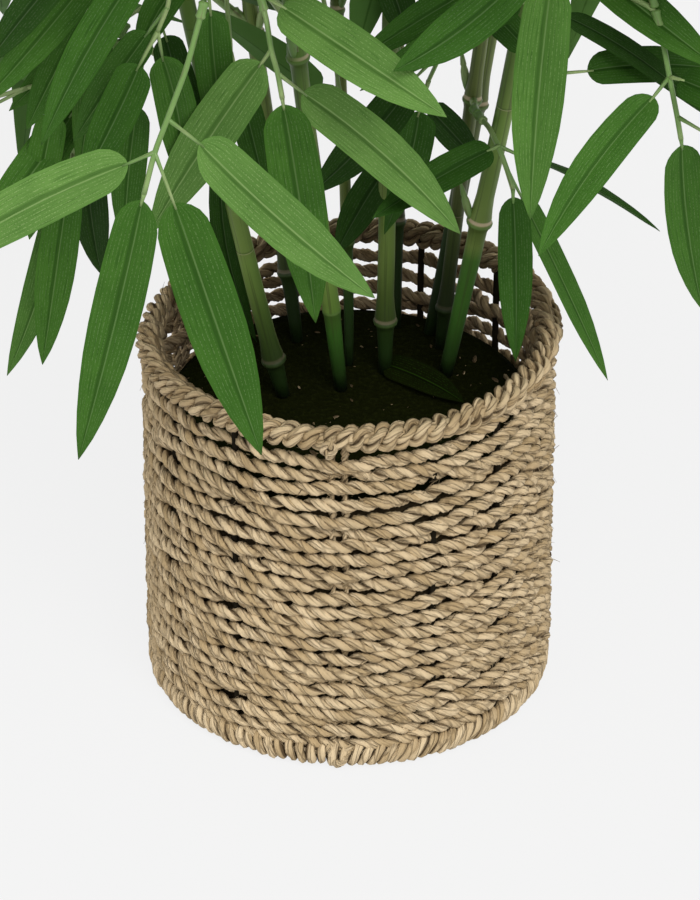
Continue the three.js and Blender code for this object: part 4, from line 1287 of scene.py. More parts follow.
def make_canes(material):
    """Each cane is a tube whose radius is its taper times the ring profile at the distance from the
    nearest ring, and narrower towards its foot."""
    for number, cane in enumerate(CANES):
        rings = cane_rings(cane)
        height = cane_heights(cane, rings)
        above = height - FILL_TOP
        offset = height[:, None] - rings[None]
        from_ring = offset[np.arange(len(height)), np.abs(offset).argmin(axis=1)]
        faint = (number == FAINT_CANE) & (height < rings[0] + RING_FREE_TIP)
        swell = np.interp(from_ring, RING_PROFILE[:, 0], RING_PROFILE[:, 1])
        swell = np.where(faint, BETWEEN_RINGS + FAINT_SWELL * (swell - BETWEEN_RINGS), swell)
        sleeve = min(cane["ring"], FOOT_SLEEVE)
        swell *= FOOT_TAPER + (1 - FOOT_TAPER) * np.clip(above / sleeve, 0, 1)
        path = cane_points(cane, height)
        waver = [wander(height / length, number + step) for length, step in CANE_WAVES]
        path[:, :2] += CANE_WAVER * np.stack(waver, -1)
        surface = Surface()
        # The foot share sets how far up the cane the painted shade of its foot reaches
        add_limbs(surface, path[None], cane_radius(cane, height) * swell, CANE_MESH["sides"],
                  from_ring=from_ring, dry=cane["dry"], scar_share=1 - faint,
                  in_sleeve=np.clip(sleeve + SLEEVE_EDGE - above, 0, 1), foot_share=above / cane["dark"])
        surface.piece(f"bamboo_cane_{number + 1}", material, "cane", [f"cane_{number + 1:02d}"])


# Growth of the crown

# Numbers of the dice: each state is the one before times the step, and what is left of it past the
# modulus; a seed is mixed in with a step and a shift of its own
DICE = dict(modulus=2147483647, step=16807, seed_step=7919, seed_shift=11)


def make_dice(*seeds):
    """A seeded sequence of numbers from 0 to 1."""
    state = 1
    for seed in seeds:
        state = (state * DICE["seed_step"] + seed + DICE["seed_shift"]) % DICE["modulus"]

    def roll():
        """The next number: the new state as a share of the modulus."""
        nonlocal state
        state = (state * DICE["step"]) % DICE["modulus"]
        return state / DICE["modulus"]

    roll()
    roll()
    return roll


def heading(azimuth, elevation):
    """Unit vector at an azimuth from +X and an elevation above the floor, both in degrees."""
    turned, raised = math.radians(azimuth), math.radians(elevation)
    level = math.cos(raised)
    return np.array([level * math.cos(turned), level * math.sin(turned), math.sin(raised)])


def azimuth_of(x, y):
    """Azimuth in degrees of a place or direction seen from above."""
    return math.degrees(math.atan2(y, x))


def branch_points(start, azimuth, elevation, droop, length, spans):
    """Points of a branch that sets off at a heading and bends down a little at each span."""
    points = [start]
    for span in range(spans):
        points.append(points[-1] + heading(azimuth, elevation - droop * span) * length / spans)
    return points


def seat_on(seat, direction, radius):
    """Where a three-sided stem starts so that the lowest corner of its tilted foot clears the flat
    end below it."""
    tip, along = seat
    across, up = limb_axes(direction)
    angle = (TURN * np.arange(TWIG_SIDES) / TWIG_SIDES)[:, None]
    corners = radius * (np.cos(angle) * across + np.sin(angle) * up)
    return tip + along * (SEAT_GAP + np.max(-corners @ along))


PARALLEL = 1e-6


def segment_distances(start, end, starts, ends):
    """Shortest distances from one segment to many. The closest points lie where the line between
    them is square to both segments, or at an end where that falls outside one."""
    own = end - start
    theirs = ends - starts
    apart = start - starts
    own_square = own @ own
    their_square = np.einsum("ij,ij->i", theirs, theirs)
    shared = theirs @ own
    own_lead = apart @ own
    their_lead = np.einsum("ij,ij->i", theirs, apart)
    spread = own_square * their_square - shared * shared
    safe = np.where(spread > PARALLEL, spread, 1.0)
    share = np.clip((shared * their_lead - own_lead * their_square) / safe, 0, 1)
    share = np.where(spread > PARALLEL, share, 0.0)
    their_share = np.clip((shared * share + their_lead) / their_square, 0, 1)
    share = np.clip((shared * their_share - own_lead) / own_square, 0, 1)
    return np.linalg.norm(apart + share[:, None] * own - their_share[:, None] * theirs, axis=1)


ROOM_CAPACITY = 30000


class Room:
    """Capsules round everything grown so far: start, end, radius and the owner's number."""

    def __init__(self):
        self.start = np.zeros((ROOM_CAPACITY, 3))
        self.end = np.zeros((ROOM_CAPACITY, 3))
        self.radius = np.zeros(ROOM_CAPACITY)
        self.owner = np.zeros(ROOM_CAPACITY, int)
        self.count = 0

    def take(self, capsules, owner):
        """Adds an owner's capsules."""
        for start, end, radius in capsules:
            self.start[self.count] = start
            self.end[self.count] = end
            self.radius[self.count] = radius
            self.owner[self.count] = owner
            self.count += 1

    def is_clear(self, capsules, owner):
        """Whether capsules keep CLEARANCE from all those of other owners."""
        others = np.flatnonzero(self.owner[:self.count] != owner)
        for start, end, radius in capsules:
            gaps = segment_distances(start, end, self.start[others], self.end[others])
            if np.any(gaps <= radius + self.radius[others] + CLEARANCE):
                return False
        return True


room = Room()


def capsules_along(points, radius):
    """One capsule of a radius round each span of a path."""
    return [(start, end, radius) for start, end in zip(points[:-1], points[1:])]


# Numbers of the owners of room: the first cane, bough and mass of foliage
FIRST_OWNER = dict(cane=0, bough=100, foliage=200)


def share_past(place, strip):
    """How far a place is across a strip that starts at a place and has a width, from 0 to 1."""
    start, width = strip
    return min(max((start - place) / width, 0), 1)


def crown_floor(point):
    """Lowest height that foliage may hang to at a place: it rises over a strip to the front, slopes
    up from the middle on, and sinks over a strip on the left."""
    left = share_past(point[0], CROWN_FLOOR["left"])
    front = share_past(point[1], CROWN_FLOOR["front"])
    raised = CROWN_FLOOR["slope"] * max(0, -point[1]) + CROWN_FLOOR["rise"] * front
    return CROWN_FLOOR["level"] + raised - CROWN_FLOOR["drop"] * left * (1 - front)


def within_reach(point):
    """Whether a point lies inside the CAD box."""
    low, high = np.array(cad_low) / MM, np.array(cad_high) / MM
    return bool(np.all(point >= low) and np.all(point <= high))


class Leaf:
    """A leaf on a midrib that sags below its span; its face looks up and to an azimuth."""

    def __init__(self, base, span, width, face_azimuth, green=None, stalk=STALK_LENGTH):
        self.base = base
        self.stalk = stalk
        self.span = span
        self.width = width
        self.green = green
        self.placed = green is not None
        self.length = float(np.linalg.norm(span))
        self.side = unit(np.cross(heading(face_azimuth, FACE_ELEVATION), span))

    def midrib(self, share):
        """The point at a share of the span, lowered by the sag times the square of the share."""
        return self.base + self.span * share - UPWARD * (LEAF_SAG * self.length * share * share)

    def capsules(self):
        """Room for the stalk, the blade and its narrower tip."""
        radius = self.width * LEAF_ROOM["blade"]
        shoulder, narrowing = self.midrib(LEAF_ROOM["shoulder"]), self.midrib(LEAF_ROOM["narrowing"])
        return [(shoulder, narrowing, radius), (narrowing, self.midrib(1), radius * LEAF_ROOM["tip"]),
                (self.base, shoulder, LEAF_ROOM["stalk"])]


def leaf_to(base, tip, width, green, stalk=STALK_LENGTH, face_azimuth=TO_FRONT):
    """A leaf whose tip reaches a given point, to within about a millimetre: its span is aimed above
    the point by the sag."""
    span = np.array(tip, float) - base
    span = span + UPWARD * (LEAF_SAG * np.linalg.norm(span))
    return Leaf(base, span, width, face_azimuth, green, stalk)


class Mass:
    """One mass of foliage: its limbs, twigs and leaves."""

    def __init__(self, number):
        self.number = number
        self.owner = FIRST_OWNER["foliage"] + number
        self.limbs = []
        self.sleeves = []
        self.twigs = []
        self.leaves = []

    def add_limb(self, points, root_radius, tip_radius):
        """Adds a limb along points and takes its room."""
        self.limbs.append((points, root_radius, tip_radius))
        room.take(capsules_along(points, root_radius), self.owner)

    def add_leaf(self, leaf):
        """Adds a leaf and takes its room."""
        self.leaves.append(leaf)
        room.take(leaf.capsules(), self.owner)

    def add_placed_leaves(self, spray, corners):
        """Adds the leaves that a spray lists, each at its own corner."""
        for corner, *leaf in spray["leaves"]:
            self.add_leaf(leaf_to(corners[corner], *leaf))

    def crowds_own(self, leaf, spacing):
        """Whether a leaf's midrib comes nearer than a spacing to one of the mass's own."""
        if not self.leaves:
            return False
        starts = np.array([own.midrib(LEAF_AXIS_START) for own in self.leaves])
        ends = np.array([own.midrib(1) for own in self.leaves])
        gaps = segment_distances(leaf.midrib(LEAF_AXIS_START), leaf.midrib(1), starts, ends)
        return bool(np.any(gaps < spacing))

    def grow_leaf(self, base, azimuth, elevation, seeds, spacing=LEAF_SPACING):
        """Tries a few headings for one leaf and keeps the first that has room."""
        for attempt in range(LEAF_TRIES):
            roll = make_dice(*seeds, attempt)
            blade = LEAF_SHORT + (LEAF_LONG - LEAF_SHORT) * roll()
            turn = (roll() - 0.5) * (LEAF_TURN["range"] + LEAF_TURN["more"] * attempt)
            tilt = (roll() - 0.5) * (LEAF_TILT["range"] + LEAF_TILT["more"] * attempt)
            face = azimuth_of(base[0], base[1]) + (roll() - 0.5) * FACE_TURN
            direction = heading(azimuth + turn, max(elevation + tilt, STEEPEST_LEAF))
            leaf = Leaf(base, direction * (blade + STALK_LENGTH), blade / LEAF_SLENDERNESS, face)
            tip = leaf.midrib(1)
            fits = tip[2] >= crown_floor(tip) and within_reach(tip) and not self.crowds_own(leaf, spacing)
            if fits and room.is_clear(leaf.capsules(), self.owner):
                self.add_leaf(leaf)
                return

    def grow_twig(self, start, azimuth, elevation, seeds, shrink=1.0):
        """A side twig with alternate leaves and one at its tip."""
        roll = make_dice(*seeds)
        length = (TWIG_SHORT + (TWIG_LONG - TWIG_SHORT) * roll()) * shrink
        twig = branch_points(start, azimuth, elevation - TWIG_DROOP, 0, length, 1)
        tip = twig[1]
        if tip[2] < crown_floor(tip) or not room.is_clear(capsules_along(twig, TWIG_RADIUS), self.owner):
            return
        self.add_limb(twig, TWIG_RADIUS, TWIG_RADIUS * TWIG_TAPER)
        self.twigs.append((start, tip, azimuth, elevation, seeds))
        for number, (share, turn, droop) in enumerate(TWIG_LEAVES):
            base = start + (tip - start) * share
            self.grow_leaf(base, azimuth + turn, elevation - droop, [*seeds, number + 1])

    def grow_twigs(self, stem, azimuth, elevation, seeds):
        """Twigs to both sides of a stem, in turn, and one at its tip."""
        for joint in range(1, len(stem)):
            roll = make_dice(*seeds, joint)
            at_tip = joint == len(stem) - 1
            side = 1 if joint % 2 == 0 else -1
            if at_tip:
                spread = TWIG_TURN["tip_range"] * (roll() - 0.5)
            else:
                spread = side * (TWIG_TURN["side"] + TWIG_TURN["side_range"] * (roll() - 0.5))
            lift = elevation - STEM_DROOP * joint + TWIG_LIFT_RANGE * (roll() - 0.5)
            root = stem[joint] + (stem[joint - 1] - stem[joint]) * TWIG_SINK
            self.grow_twig(root, azimuth + spread, lift, [*seeds, joint])
            if not at_tip:
                turned = azimuth + STEM_LEAF["turn"] * spread
                self.grow_leaf(root, turned, lift - STEM_LEAF["droop"], [*seeds, joint, STEM_LEAF["seed"]])

    def grow_finer(self):
        """A short twig from the middle of each twig and more leaves on all of them, where they have
        room."""
        for number, (start, tip, azimuth, elevation, seeds) in enumerate(list(self.twigs)):
            turn = SHORT_TWIG["turn"] * (1 if number % 2 else -1)
            middle = start + (tip - start) * SHORT_TWIG["share"]
            seeds = [*seeds, SHORT_TWIG["seed"]]
            self.grow_twig(middle, azimuth + turn, elevation, seeds, SHORT_TWIG["shrink"])
        for start, tip, azimuth, elevation, seeds in list(self.twigs):
            for number, (share, turn, droop) in enumerate(FINE_LEAVES):
                base = start + (tip - start) * share
                leaf_seeds = [*seeds, FINE_SEED + number]
                self.grow_leaf(base, azimuth + turn, elevation - droop, leaf_seeds, FINE_SPACING)


def new_mass(masses):
    """An empty mass, added to the list and numbered on from the last one."""
    masses.append(Mass(len(masses)))
    return masses[-1]


def grow_mass(masses, seat, azimuth, elevation, seeds):
    """A mass on a seat: a drooping stem and its twigs."""
    mass = new_mass(masses)
    start = seat_on(seat, heading(azimuth, elevation), STEM_RADIUS)
    stem = branch_points(start, azimuth, elevation, STEM_DROOP, STEM_LENGTH, STEM_SPANS)
    mass.add_limb(stem, STEM_RADIUS, TWIG_RADIUS)
    mass.grow_twigs(stem, azimuth, elevation, seeds)


def grow_ring_spray(mass, cane, ring):
    """A small spray from a free ring of a cane towards the middle of the crown."""
    centre = cane_points(CANES[cane], cane_rings(CANES[cane])[ring])
    inward = azimuth_of(CROWN_AXIS[0] - centre[0], CROWN_AXIS[1] - centre[1])
    azimuth = inward + RING_SPRAY["turn"] * (1 if ring % 2 else -1)
    elevation = RING_SPRAY["elevation"]
    stem = branch_points(centre, azimuth, elevation, STEM_DROOP, RING_SPRAY["length"], STEM_SPANS)
    mass.add_limb(stem, STEM_RADIUS, TWIG_RADIUS)
    mass.grow_twigs(stem, azimuth, elevation, [RING_SPRAY["seed"], cane, ring])


def add_bough(number, cane, ring, azimuth, elevation, droop, length):
    """A bough leaves a cane's ring and arches over; it is given back with its tip as a seat."""
    root = cane_points(CANES[cane], cane_rings(CANES[cane])[ring] + BOUGH_ABOVE_RING)
    points = branch_points(root, azimuth, elevation, droop, length, BOUGH_SPANS)
    room.take(capsules_along(points, BOUGH_ROOT_RADIUS), FIRST_OWNER["bough"] + number)
    return points, (points[-1], unit(points[-1] - points[-2]))


def ring_seat(ring, towards):
    """A seat on the outside of a cane's ring, on the side of a point."""
    cane = CANES[ring[0]]
    height = cane_rings(cane)[ring[1]]
    centre = cane_points(cane, height)
    along = unit(towards - centre)
    return centre + along * cane_radius(cane, height) * RING_SWELL, along


def ruled_boughs():
    """Boughs spread up the crown on a spiral, each from the free ring that scores best: how far it
    lies that way, less how far it is from the height."""
    taken = {(bough["cane"], bough["ring"]) for bough in FRONT_BOUGHS.values()}
    boughs = []
    lowest, highest = RULED_BOUGHS["lowest"], RULED_BOUGHS["highest"]
    for number in range(RULED_BOUGHS["count"]):
        height = lowest + (highest - lowest) * (number / (RULED_BOUGHS["count"] - 1))
        azimuth = GOLDEN_ANGLE * number
        way = heading(azimuth, 0)
        scores = [
            (float(cane_points(cane, level) @ way) - abs(level - height), -index, -ring)
            for index, cane in enumerate(CANES) for ring, level in enumerate(cane_rings(cane))
            if (index, ring) not in taken
        ]
        # Of equal scores the lowest cane and ring win, so both are held as negative numbers
        _, index, ring = max(scores)
        taken.add((-index, -ring))
        boughs.append(dict(cane=-index, ring=-ring, azimuth=azimuth, **RULED_BOUGH))
    return boughs


def corners_of(spray):
    """The corners of a spray's path as points."""
    return [np.array(corner, float) for corner in spray["path"]]


def hang_front_sprays(masses, seats):
    """The sprays in front of the basket, each a mass on its bough's or ring's seat. Those on boughs
    are given back with the ends of their first span."""
    on_boughs = []
    for spray in FRONT_SPRAYS:
        mass = new_mass(masses)
        corners = corners_of(spray)
        seat = seats[spray["bough"]] if "bough" in spray else ring_seat(spray["ring"], corners[0])
        start = seat_on(seat, unit(corners[0] - seat[0]), BOUGH_TIP_RADIUS)
        mass.add_limb([start, *corners], BOUGH_TIP_RADIUS, TWIG_RADIUS)
        mass.sleeves.append((corners[0], unit(corners[1] - corners[0])))
        mass.add_placed_leaves(spray, corners)
        if "bough" in spray:
            on_boughs.append((mass, start, corners[0]))
    return on_boughs


def hang_inner_sprays(mass):
    """The sprays behind them, which all belong to one mass."""
    for spray in INNER_SPRAYS:
        corners = corners_of(spray)
        mass.add_limb(corners, TWIG_RADIUS, TWIG_RADIUS * TWIG_TAPER)
        mass.add_placed_leaves(spray, corners)


def grow_front_twigs(sprays):
    """Twigs at the first joint of each front spray and halfway to it."""
    for number, (mass, start, joint) in enumerate(sprays):
        azimuth = azimuth_of(joint[0] - start[0], joint[1] - start[1])
        root = start + (joint - start) * FRONT_SIDE_TWIG["share"]
        mass.grow_twigs([start, joint], azimuth + FRONT_TWIG["turn"], FRONT_TWIG["elevation"],
                        [SEEDS["front_twig"], number])
        mass.grow_twig(root, azimuth + FRONT_SIDE_TWIG["turn"], FRONT_SIDE_TWIG["elevation"],
                       [SEEDS["front_side_twig"], number])


def grow_ruled_masses(masses, ruled, seats):
    """A mass on each ruled bough, and one on each cane's tip that leans away from the crown's
    axis."""
    for number, (bough, seat) in enumerate(zip(ruled, seats)):
        grow_mass(masses, seat, bough["azimuth"], STEM_ELEVATION, [SEEDS["ruled"], number])
    for number, cane in enumerate(CANES):
        tip = cane_points(cane, cane["tip"])
        azimuth = azimuth_of(tip[0] - CROWN_AXIS[0], tip[1] - CROWN_AXIS[1])
        grow_mass(masses, (tip, UPWARD), azimuth, TIP_STEM_ELEVATION, [SEEDS["cane_tip"], number])


def grow_crown():
    """The part's own growth, in its order, then the sprays on free rings and the finer leaves."""
    for number, cane in enumerate(CANES):
        heights = np.concatenate([[FILL_TOP], cane_rings(cane), [cane["tip"]]])
        spans = capsules_along(list(cane_points(cane, heights)), cane["radius"] * RING_SWELL)
        room.take(spans, FIRST_OWNER["cane"] + number)
    ruled = ruled_boughs()
    every_bough = [*FRONT_BOUGHS.values(), *ruled]
    paths, seats = zip(*(add_bough(number, **bough) for number, bough in enumerate(every_bough)))
    front_seats = dict(zip(FRONT_BOUGHS, seats))
    masses = []
    sprays = hang_front_sprays(masses, front_seats)
    hang_inner_sprays(masses[0])
    grow_front_twigs(sprays)
    grow_mass(masses, front_seats["leftBack"], FRONT_BOUGHS["leftBack"]["azimuth"], LOW_STEM_ELEVATION,
              [SEEDS["left_back"]])
    grow_ruled_masses(masses, ruled, seats[len(FRONT_BOUGHS):])
    taken = {(bough["cane"], bough["ring"]) for bough in every_bough}
    for number, cane in enumerate(CANES):
        for ring, height in enumerate(cane_rings(cane)):
            if height > RING_SPRAY["from"] and (number, ring) not in taken:
                grow_ring_spray(new_mass(masses), number, ring)
    for mass in masses:
        mass.grow_finer()
    return paths, masses


# Crown meshes

# Shares along a blade, places across its ring of corners (the first ones on its face, the others
# on its back) and how full the tip is, for placed leaves and for grown ones
FACE_CORNERS = 5
FINE_BLADE = dict(
    stations=np.array([
        0, 0.006, 0.022, 0.05, 0.09, 0.15, 0.25, 0.37, 0.5, 0.62, 0.73, 0.83, 0.91, 0.965, 1.0,
    ]),
    columns=np.array([1, 0.5, 0, -0.5, -1, -0.5, 0, 0.5]),
    fullness=3.3,
)
PLAIN_BLADE = dict(
    stations=np.array([0, 0.015, 0.05, 0.11, 0.25, 0.45, 0.62, 0.77, 0.9, 1.0]),
    columns=np.array([1, 0.5, 0, -0.5, -1, 0]),
    fullness=2.8,
)

# A blade's thickness in mm, then its crease, bulge and wave as shares of its half width, its bend as
# a share of its length, its twist in degrees and where along it there is none
BLADE = dict(
    thickness=0.3, crease=0.2, bulge=0.1, wave=0.05, waves=1.6, bend=0.09,
    twist=17, untwisted=0.3, map_step=0.61,
)

# The strand map's middle on the face and on the back of a leaf
FACE_MIDDLE = 0.5
BACK_MIDDLE = 2.5

# A blade's outline, in shares of its length on the first line and of its width on the second
OUTLINE = dict(
    base=0.11, swelling=0.8, tip_from=0.4, tip=0.6,
    sides=0.84, swell=0.16, least_base=0.12, least_tip=0.015,
)


def blade_outline(share, fullness):
    """Half width as a share of the widest: a blunt round base, nearly straight sides, and a curve
    that falls ever faster to the sharp tip, the later the fuller."""
    base = np.sqrt(1 - (1 - np.clip(share / OUTLINE["base"], 0, 1)) ** 2)
    swelling = np.sin(np.pi * np.clip(share / OUTLINE["swelling"], 0, 1))
    sides = OUTLINE["sides"] + OUTLINE["swell"] * swelling
    tip = 1 - np.clip((share - OUTLINE["tip_from"]) / OUTLINE["tip"], 0, 1) ** fullness
    return np.maximum(base, OUTLINE["least_base"]) * sides * np.maximum(tip, OUTLINE["least_tip"])


def leaf_measures(leaves):
    """The leaves' bases, spans, lengths and stalks, as arrays that spread over rows of points."""
    base = np.array([leaf.base for leaf in leaves])[:, None]
    span = np.array([leaf.span for leaf in leaves])[:, None]
    length = np.array([leaf.length for leaf in leaves])[:, None, None]
    stalk = np.array([leaf.stalk for leaf in leaves])[:, None, None]
    return base, span, length, stalk


def add_blades(surface, leaves, shape, seed):
    """Leaf blades carried along their midribs: a creased, slightly bulging section, twisted along
    the leaf, with a face and a back that meet in sharp edges."""
    dice = np.random.default_rng(seed)
    stations, columns = shape["stations"], shape["columns"]
    count = len(leaves)
    base, span, length, stalk = leaf_measures(leaves)
    side = np.array([leaf.side for leaf in leaves])[:, None]
    half = np.array([leaf.width for leaf in leaves])[:, None] / 2
    share = (stalk + (length - stalk) * stations[None, :, None]) / length
    along = unit(span - 2 * UPWARD * LEAF_SAG * length * share)
    normal = unit(np.cross(along, side))
    level = np.cross(normal, along)
    twist = np.radians(BLADE["twist"]) * dice.normal(size=(count, 1)) * (stations[None] - BLADE["untwisted"])
    cosine, sine = np.cos(twist)[..., None], np.sin(twist)[..., None]
    across = (level * cosine + normal * sine)[:, :, None]
    up = (normal * cosine - level * sine)[:, :, None]
    bend = BLADE["bend"] * dice.normal(size=(count, 1)) * stations[None] * (1 - stations[None])
    centre = base + span * share - UPWARD * LEAF_SAG * length * share * share
    centre = centre + (bend[..., None] * length) * level
    phase = TURN * (BLADE["waves"] * stations[None] + dice.random((count, 1)))
    wave = BLADE["wave"] * np.sin(phase)[..., None, None]
    column = columns[None, None, :, None]
    rise = BLADE["crease"] * np.abs(column) + BLADE["bulge"] * np.sin(np.pi * np.abs(column)) + wave * column
    width = (half * blade_outline(stations, shape["fullness"])[None])[..., None, None]
    thickness = np.where(np.arange(len(columns)) < FACE_CORNERS, 0.0, BLADE["thickness"])
    sections = centre[:, :, None] + width * (column * across + rise * up) - thickness[:, None] * up
    on_back = np.arange(len(columns)) >= FACE_CORNERS - 1
    middle = np.where(on_back, BACK_MIDDLE, FACE_MIDDLE)
    around = (middle + columns / 2, middle + np.roll(columns, -1) / 2)
    distance = stations[None] * (length - stalk)[..., 0] * MM + BLADE["map_step"] * np.arange(count)[:, None]
    first = surface.count
    surface.add_tubes(sections, around, distance, np.flatnonzero(on_back), tone=dice.random((count, 1)))
    surface.creases.append((first, surface.count, len(columns), (0, 2, FACE_CORNERS - 1)))


# Stalks: their radii from root to end, how far they reach into the blade, and their sides
STALK_RADII = np.array([1.25, 0.95, 0.85, 0.55])
STALK_INSIDE = 3
STALK_SIDES = 6


def add_stalks(surface, leaves):
    """Short stalks from each leaf's root to a little inside its blade, along the midrib."""
    base, span, length, stalk = leaf_measures(leaves)
    steps = np.linspace(0, 1, len(STALK_RADII))[None, :, None]
    share = steps * (stalk + STALK_INSIDE) / length
    paths = base + span * share - UPWARD * LEAF_SAG * length * share * share
    add_limbs(surface, paths, STALK_RADII, STALK_SIDES)


# A sleeve's shares along it and its width there as a share of the limb's
SLEEVE_PROFILE = np.array([(0.0, 1.15), (0.12, 1.5), (0.3, 1.25), (0.7, 1.2), (0.88, 1.4), (1.0, 1.0)])
SLEEVE_SIDES = 8


def add_sleeves(surface, roots, directions, radius, length):
    """Moulded sleeves where a twig or bough plugs in: short tubes with a bead at each end."""
    share, swell = SLEEVE_PROFILE.T
    paths = roots[:, None] + directions[:, None] * (share * length)[None, :, None]
    add_limbs(surface, paths, radius * swell, SLEEVE_SIDES)


# Bough wires, with the radians of the wave that makes their knuckles; then where their sleeves
# start, near the root and the tip, and how long those are
BOUGH_WIRE = dict(rows=22, sides=8, knuckles=19, knuckle=0.12, sharpness=6)
BOUGH_SLEEVES = dict(from_root=5, root_length=9.0, from_tip=3, tip_length=6.0)


def make_boughs(boughs, material):
    """Wires along the boughs: the radius falls evenly to the tip, with a row of knuckles."""
    surface = Surface()
    paths = np.stack([smooth_path(points, BOUGH_WIRE["rows"]) for points in boughs])
    share = np.linspace(0, 1, BOUGH_WIRE["rows"])
    radii = BOUGH_ROOT_RADIUS + (BOUGH_TIP_RADIUS - BOUGH_ROOT_RADIUS) * share
    bumps = np.maximum(np.sin(share * BOUGH_WIRE["knuckles"]), 0) ** BOUGH_WIRE["sharpness"]
    radii = radii * (1 + BOUGH_WIRE["knuckle"] * bumps)
    add_limbs(surface, paths, radii, BOUGH_WIRE["sides"])
    outward = unit(paths[:, 1] - paths[:, 0])
    onward = unit(paths[:, -1] - paths[:, -2])
    add_sleeves(surface, paths[:, 0] + outward * BOUGH_SLEEVES["from_root"], outward, BOUGH_ROOT_RADIUS,
                BOUGH_SLEEVES["root_length"])
    add_sleeves(surface, paths[:, -1] - onward * BOUGH_SLEEVES["from_tip"], onward, BOUGH_TIP_RADIUS,
                BOUGH_SLEEVES["tip_length"])
    nodes = [f"bough_{number + 1:02d}" for number in range(len(boughs))]
    surface.piece("bough_wires", material, "twig", nodes)


# Twigs: rows and sides of their tubes, and their thickness as a share of the solid's; then the
# sleeves at their roots and the two on a front spray, whose width is a share of a twig's radius
TWIG_ROWS = dict(straight=8, bent=26)
FINE_TWIG_SIDES = 7
TWIG_THINNESS = 0.82
ROOT_SLEEVE = dict(width=0.9, length=7.0)
SPRAY_SLEEVE = dict(width=1.1, length=8.0, back=9.0)


def make_twigs(masses, material):
    """Stems, twigs, sleeves and stalks: round tubes whose radius changes evenly from root to tip."""
    surface = Surface()
    for kind, rows in TWIG_ROWS.items():
        limbs = [limb for mass in masses for limb in mass.limbs if (len(limb[0]) > 2) == (kind == "bent")]
        paths = np.stack([smooth_path(points, rows) for points, _, _ in limbs])
        root, tip = np.array([limb[1:] for limb in limbs]).T[..., None]
        radii = (root + (tip - root) * np.linspace(0, 1, rows)[None]) * TWIG_THINNESS
        add_limbs(surface, paths, radii, FINE_TWIG_SIDES)
        directions = unit(paths[:, 1] - paths[:, 0])
        add_sleeves(surface, paths[:, 0], directions, TWIG_RADIUS * ROOT_SLEEVE["width"],
                    ROOT_SLEEVE["length"])
    for mass in masses:
        for place, direction in mass.sleeves:
            roots = place - direction * np.array([[0.0], [SPRAY_SLEEVE["back"]]])
            add_sleeves(surface, roots, np.broadcast_to(direction, roots.shape),
                        TWIG_RADIUS * SPRAY_SLEEVE["width"], SPRAY_SLEEVE["length"])
    add_stalks(surface, [leaf for mass in masses for leaf in mass.leaves])
    surface.piece("twigs_and_stalks", material, "twig", FOLIAGE)


# Greens of the cloth, dealt out by spray: partly the cloth's own tones and partly painted light and
# shade, brighter for leaves that face the light and darker for hanging and inner ones; the shaded
# green is painted shade on the leaf that lies in the shadow on the filling
LEAF_GREENS = dict(
    bright=dict(colour=(0.100, 0.214, 0.043)),
    light=dict(colour=(0.064, 0.162, 0.024)),
    middle=dict(colour=(0.040, 0.119, 0.0125)),
    dark=dict(colour=(0.027, 0.088, 0.0080)),
    darkest=dict(colour=(0.016, 0.054, 0.0045)),
    # Painted shade: a near-black green for the leaf that lies in the shadow on the filling
    shaded=dict(colour=(0.0058, 0.0088, 0.0010), pale=(0.022, 0.060, 0.005, 1.0), specular=0.02),
)
SPRAY_GREENS = ["light", "dark", "middle", "darkest", "middle", "bright", "dark", "light", "middle"]
BLADE_SEEDS = dict(placed=900, grown=950)


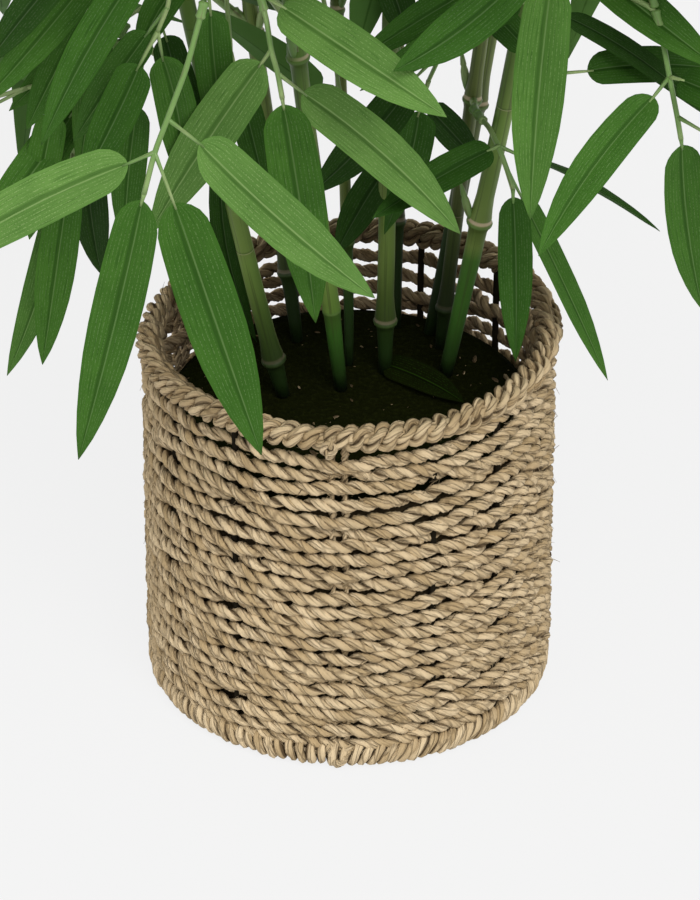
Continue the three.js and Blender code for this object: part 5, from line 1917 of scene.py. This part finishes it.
def make_leaves(masses, streaks, veins):
    """One piece for each green; a leaf with no green of its own takes its mass's."""
    for mass in masses:
        for leaf in mass.leaves:
            leaf.green = leaf.green or SPRAY_GREENS[mass.number % len(SPRAY_GREENS)]
    for number, (green, look) in enumerate(LEAF_GREENS.items()):
        leaves = [leaf for mass in masses for leaf in mass.leaves if leaf.green == green]
        placed = [leaf for leaf in leaves if leaf.placed]
        grown = [leaf for leaf in leaves if not leaf.placed]
        surface = Surface()
        add_blades(surface, placed, FINE_BLADE, BLADE_SEEDS["placed"] + number)
        if grown:
            add_blades(surface, grown, PLAIN_BLADE, BLADE_SEEDS["grown"] + number)
        material = leaf_material(f"{green}_leaf_cloth", streaks, veins, **look)
        surface.piece(f"{green}_leaves", material, "leaf", FOLIAGE)


# Side buds at the canes' rings: shares along one and its radius there, which thickness scales. Rings
# have them from a height on.
BUD_PROFILE = np.array([
    (0.0, 1.6), (0.12, 2.3), (0.3, 2.7), (0.5, 2.5), (0.62, 1.7), (0.66, 2.0), (0.85, 1.4), (1.0, 0.7),
])
BUDS = {
    "length": 21.0, "thickness": 0.8, "azimuth": 190, "cane_turn": 60, "elevation": 76,
    "above_ring": 2.5, "from": 235, "sides": 9,
}


def make_buds(material):
    """A closed side shoot stands at each higher ring of a cane, turned on from the one below."""
    roots, ways = [], []
    for number, cane in enumerate(CANES):
        for ring, height in enumerate(height for height in cane_rings(cane) if height > BUDS["from"]):
            azimuth = BUDS["azimuth"] + GOLDEN_ANGLE * ring + BUDS["cane_turn"] * number
            centre = cane_points(cane, height + BUDS["above_ring"])
            roots.append(centre + heading(azimuth, 0) * cane_radius(cane, height))
            ways.append(heading(azimuth, BUDS["elevation"]))
    reach = (BUD_PROFILE[:, 0] * BUDS["length"])[None, :, None]
    paths = np.array(roots)[:, None] + np.array(ways)[:, None] * reach
    surface = Surface()
    add_limbs(surface, paths, BUD_PROFILE[:, 1] * BUDS["thickness"], BUDS["sides"])
    surface.piece("ring_buds", material, "cane", [])


set_camera()
set_stage()
streaks = streaks_group()
veins = veins_group()
ribbons = ribbons_group()
inner_shade = inner_shade_group()
cord_material = seagrass_material("seagrass_cord", streaks, ribbons, inner_shade, CORD_COLOURS)
rim_material = seagrass_material("seagrass_rim", streaks, ribbons, inner_shade, RIM_COLOURS)
make_weave(cord_material)
make_rim(rim_material)
make_border(cord_material)
make_stakes(cord_material, wire_material())
make_fibres(rim_material)
make_crumbs(rim_material)
make_filling(filling_material())
make_canes(cane_material(streaks))
bough_paths, foliage = grow_crown()
twig_skin = twig_material(streaks)
make_boughs(bough_paths, twig_skin)
make_buds(twig_skin)
make_twigs(foliage, twig_skin)
make_leaves(foliage, streaks, veins)
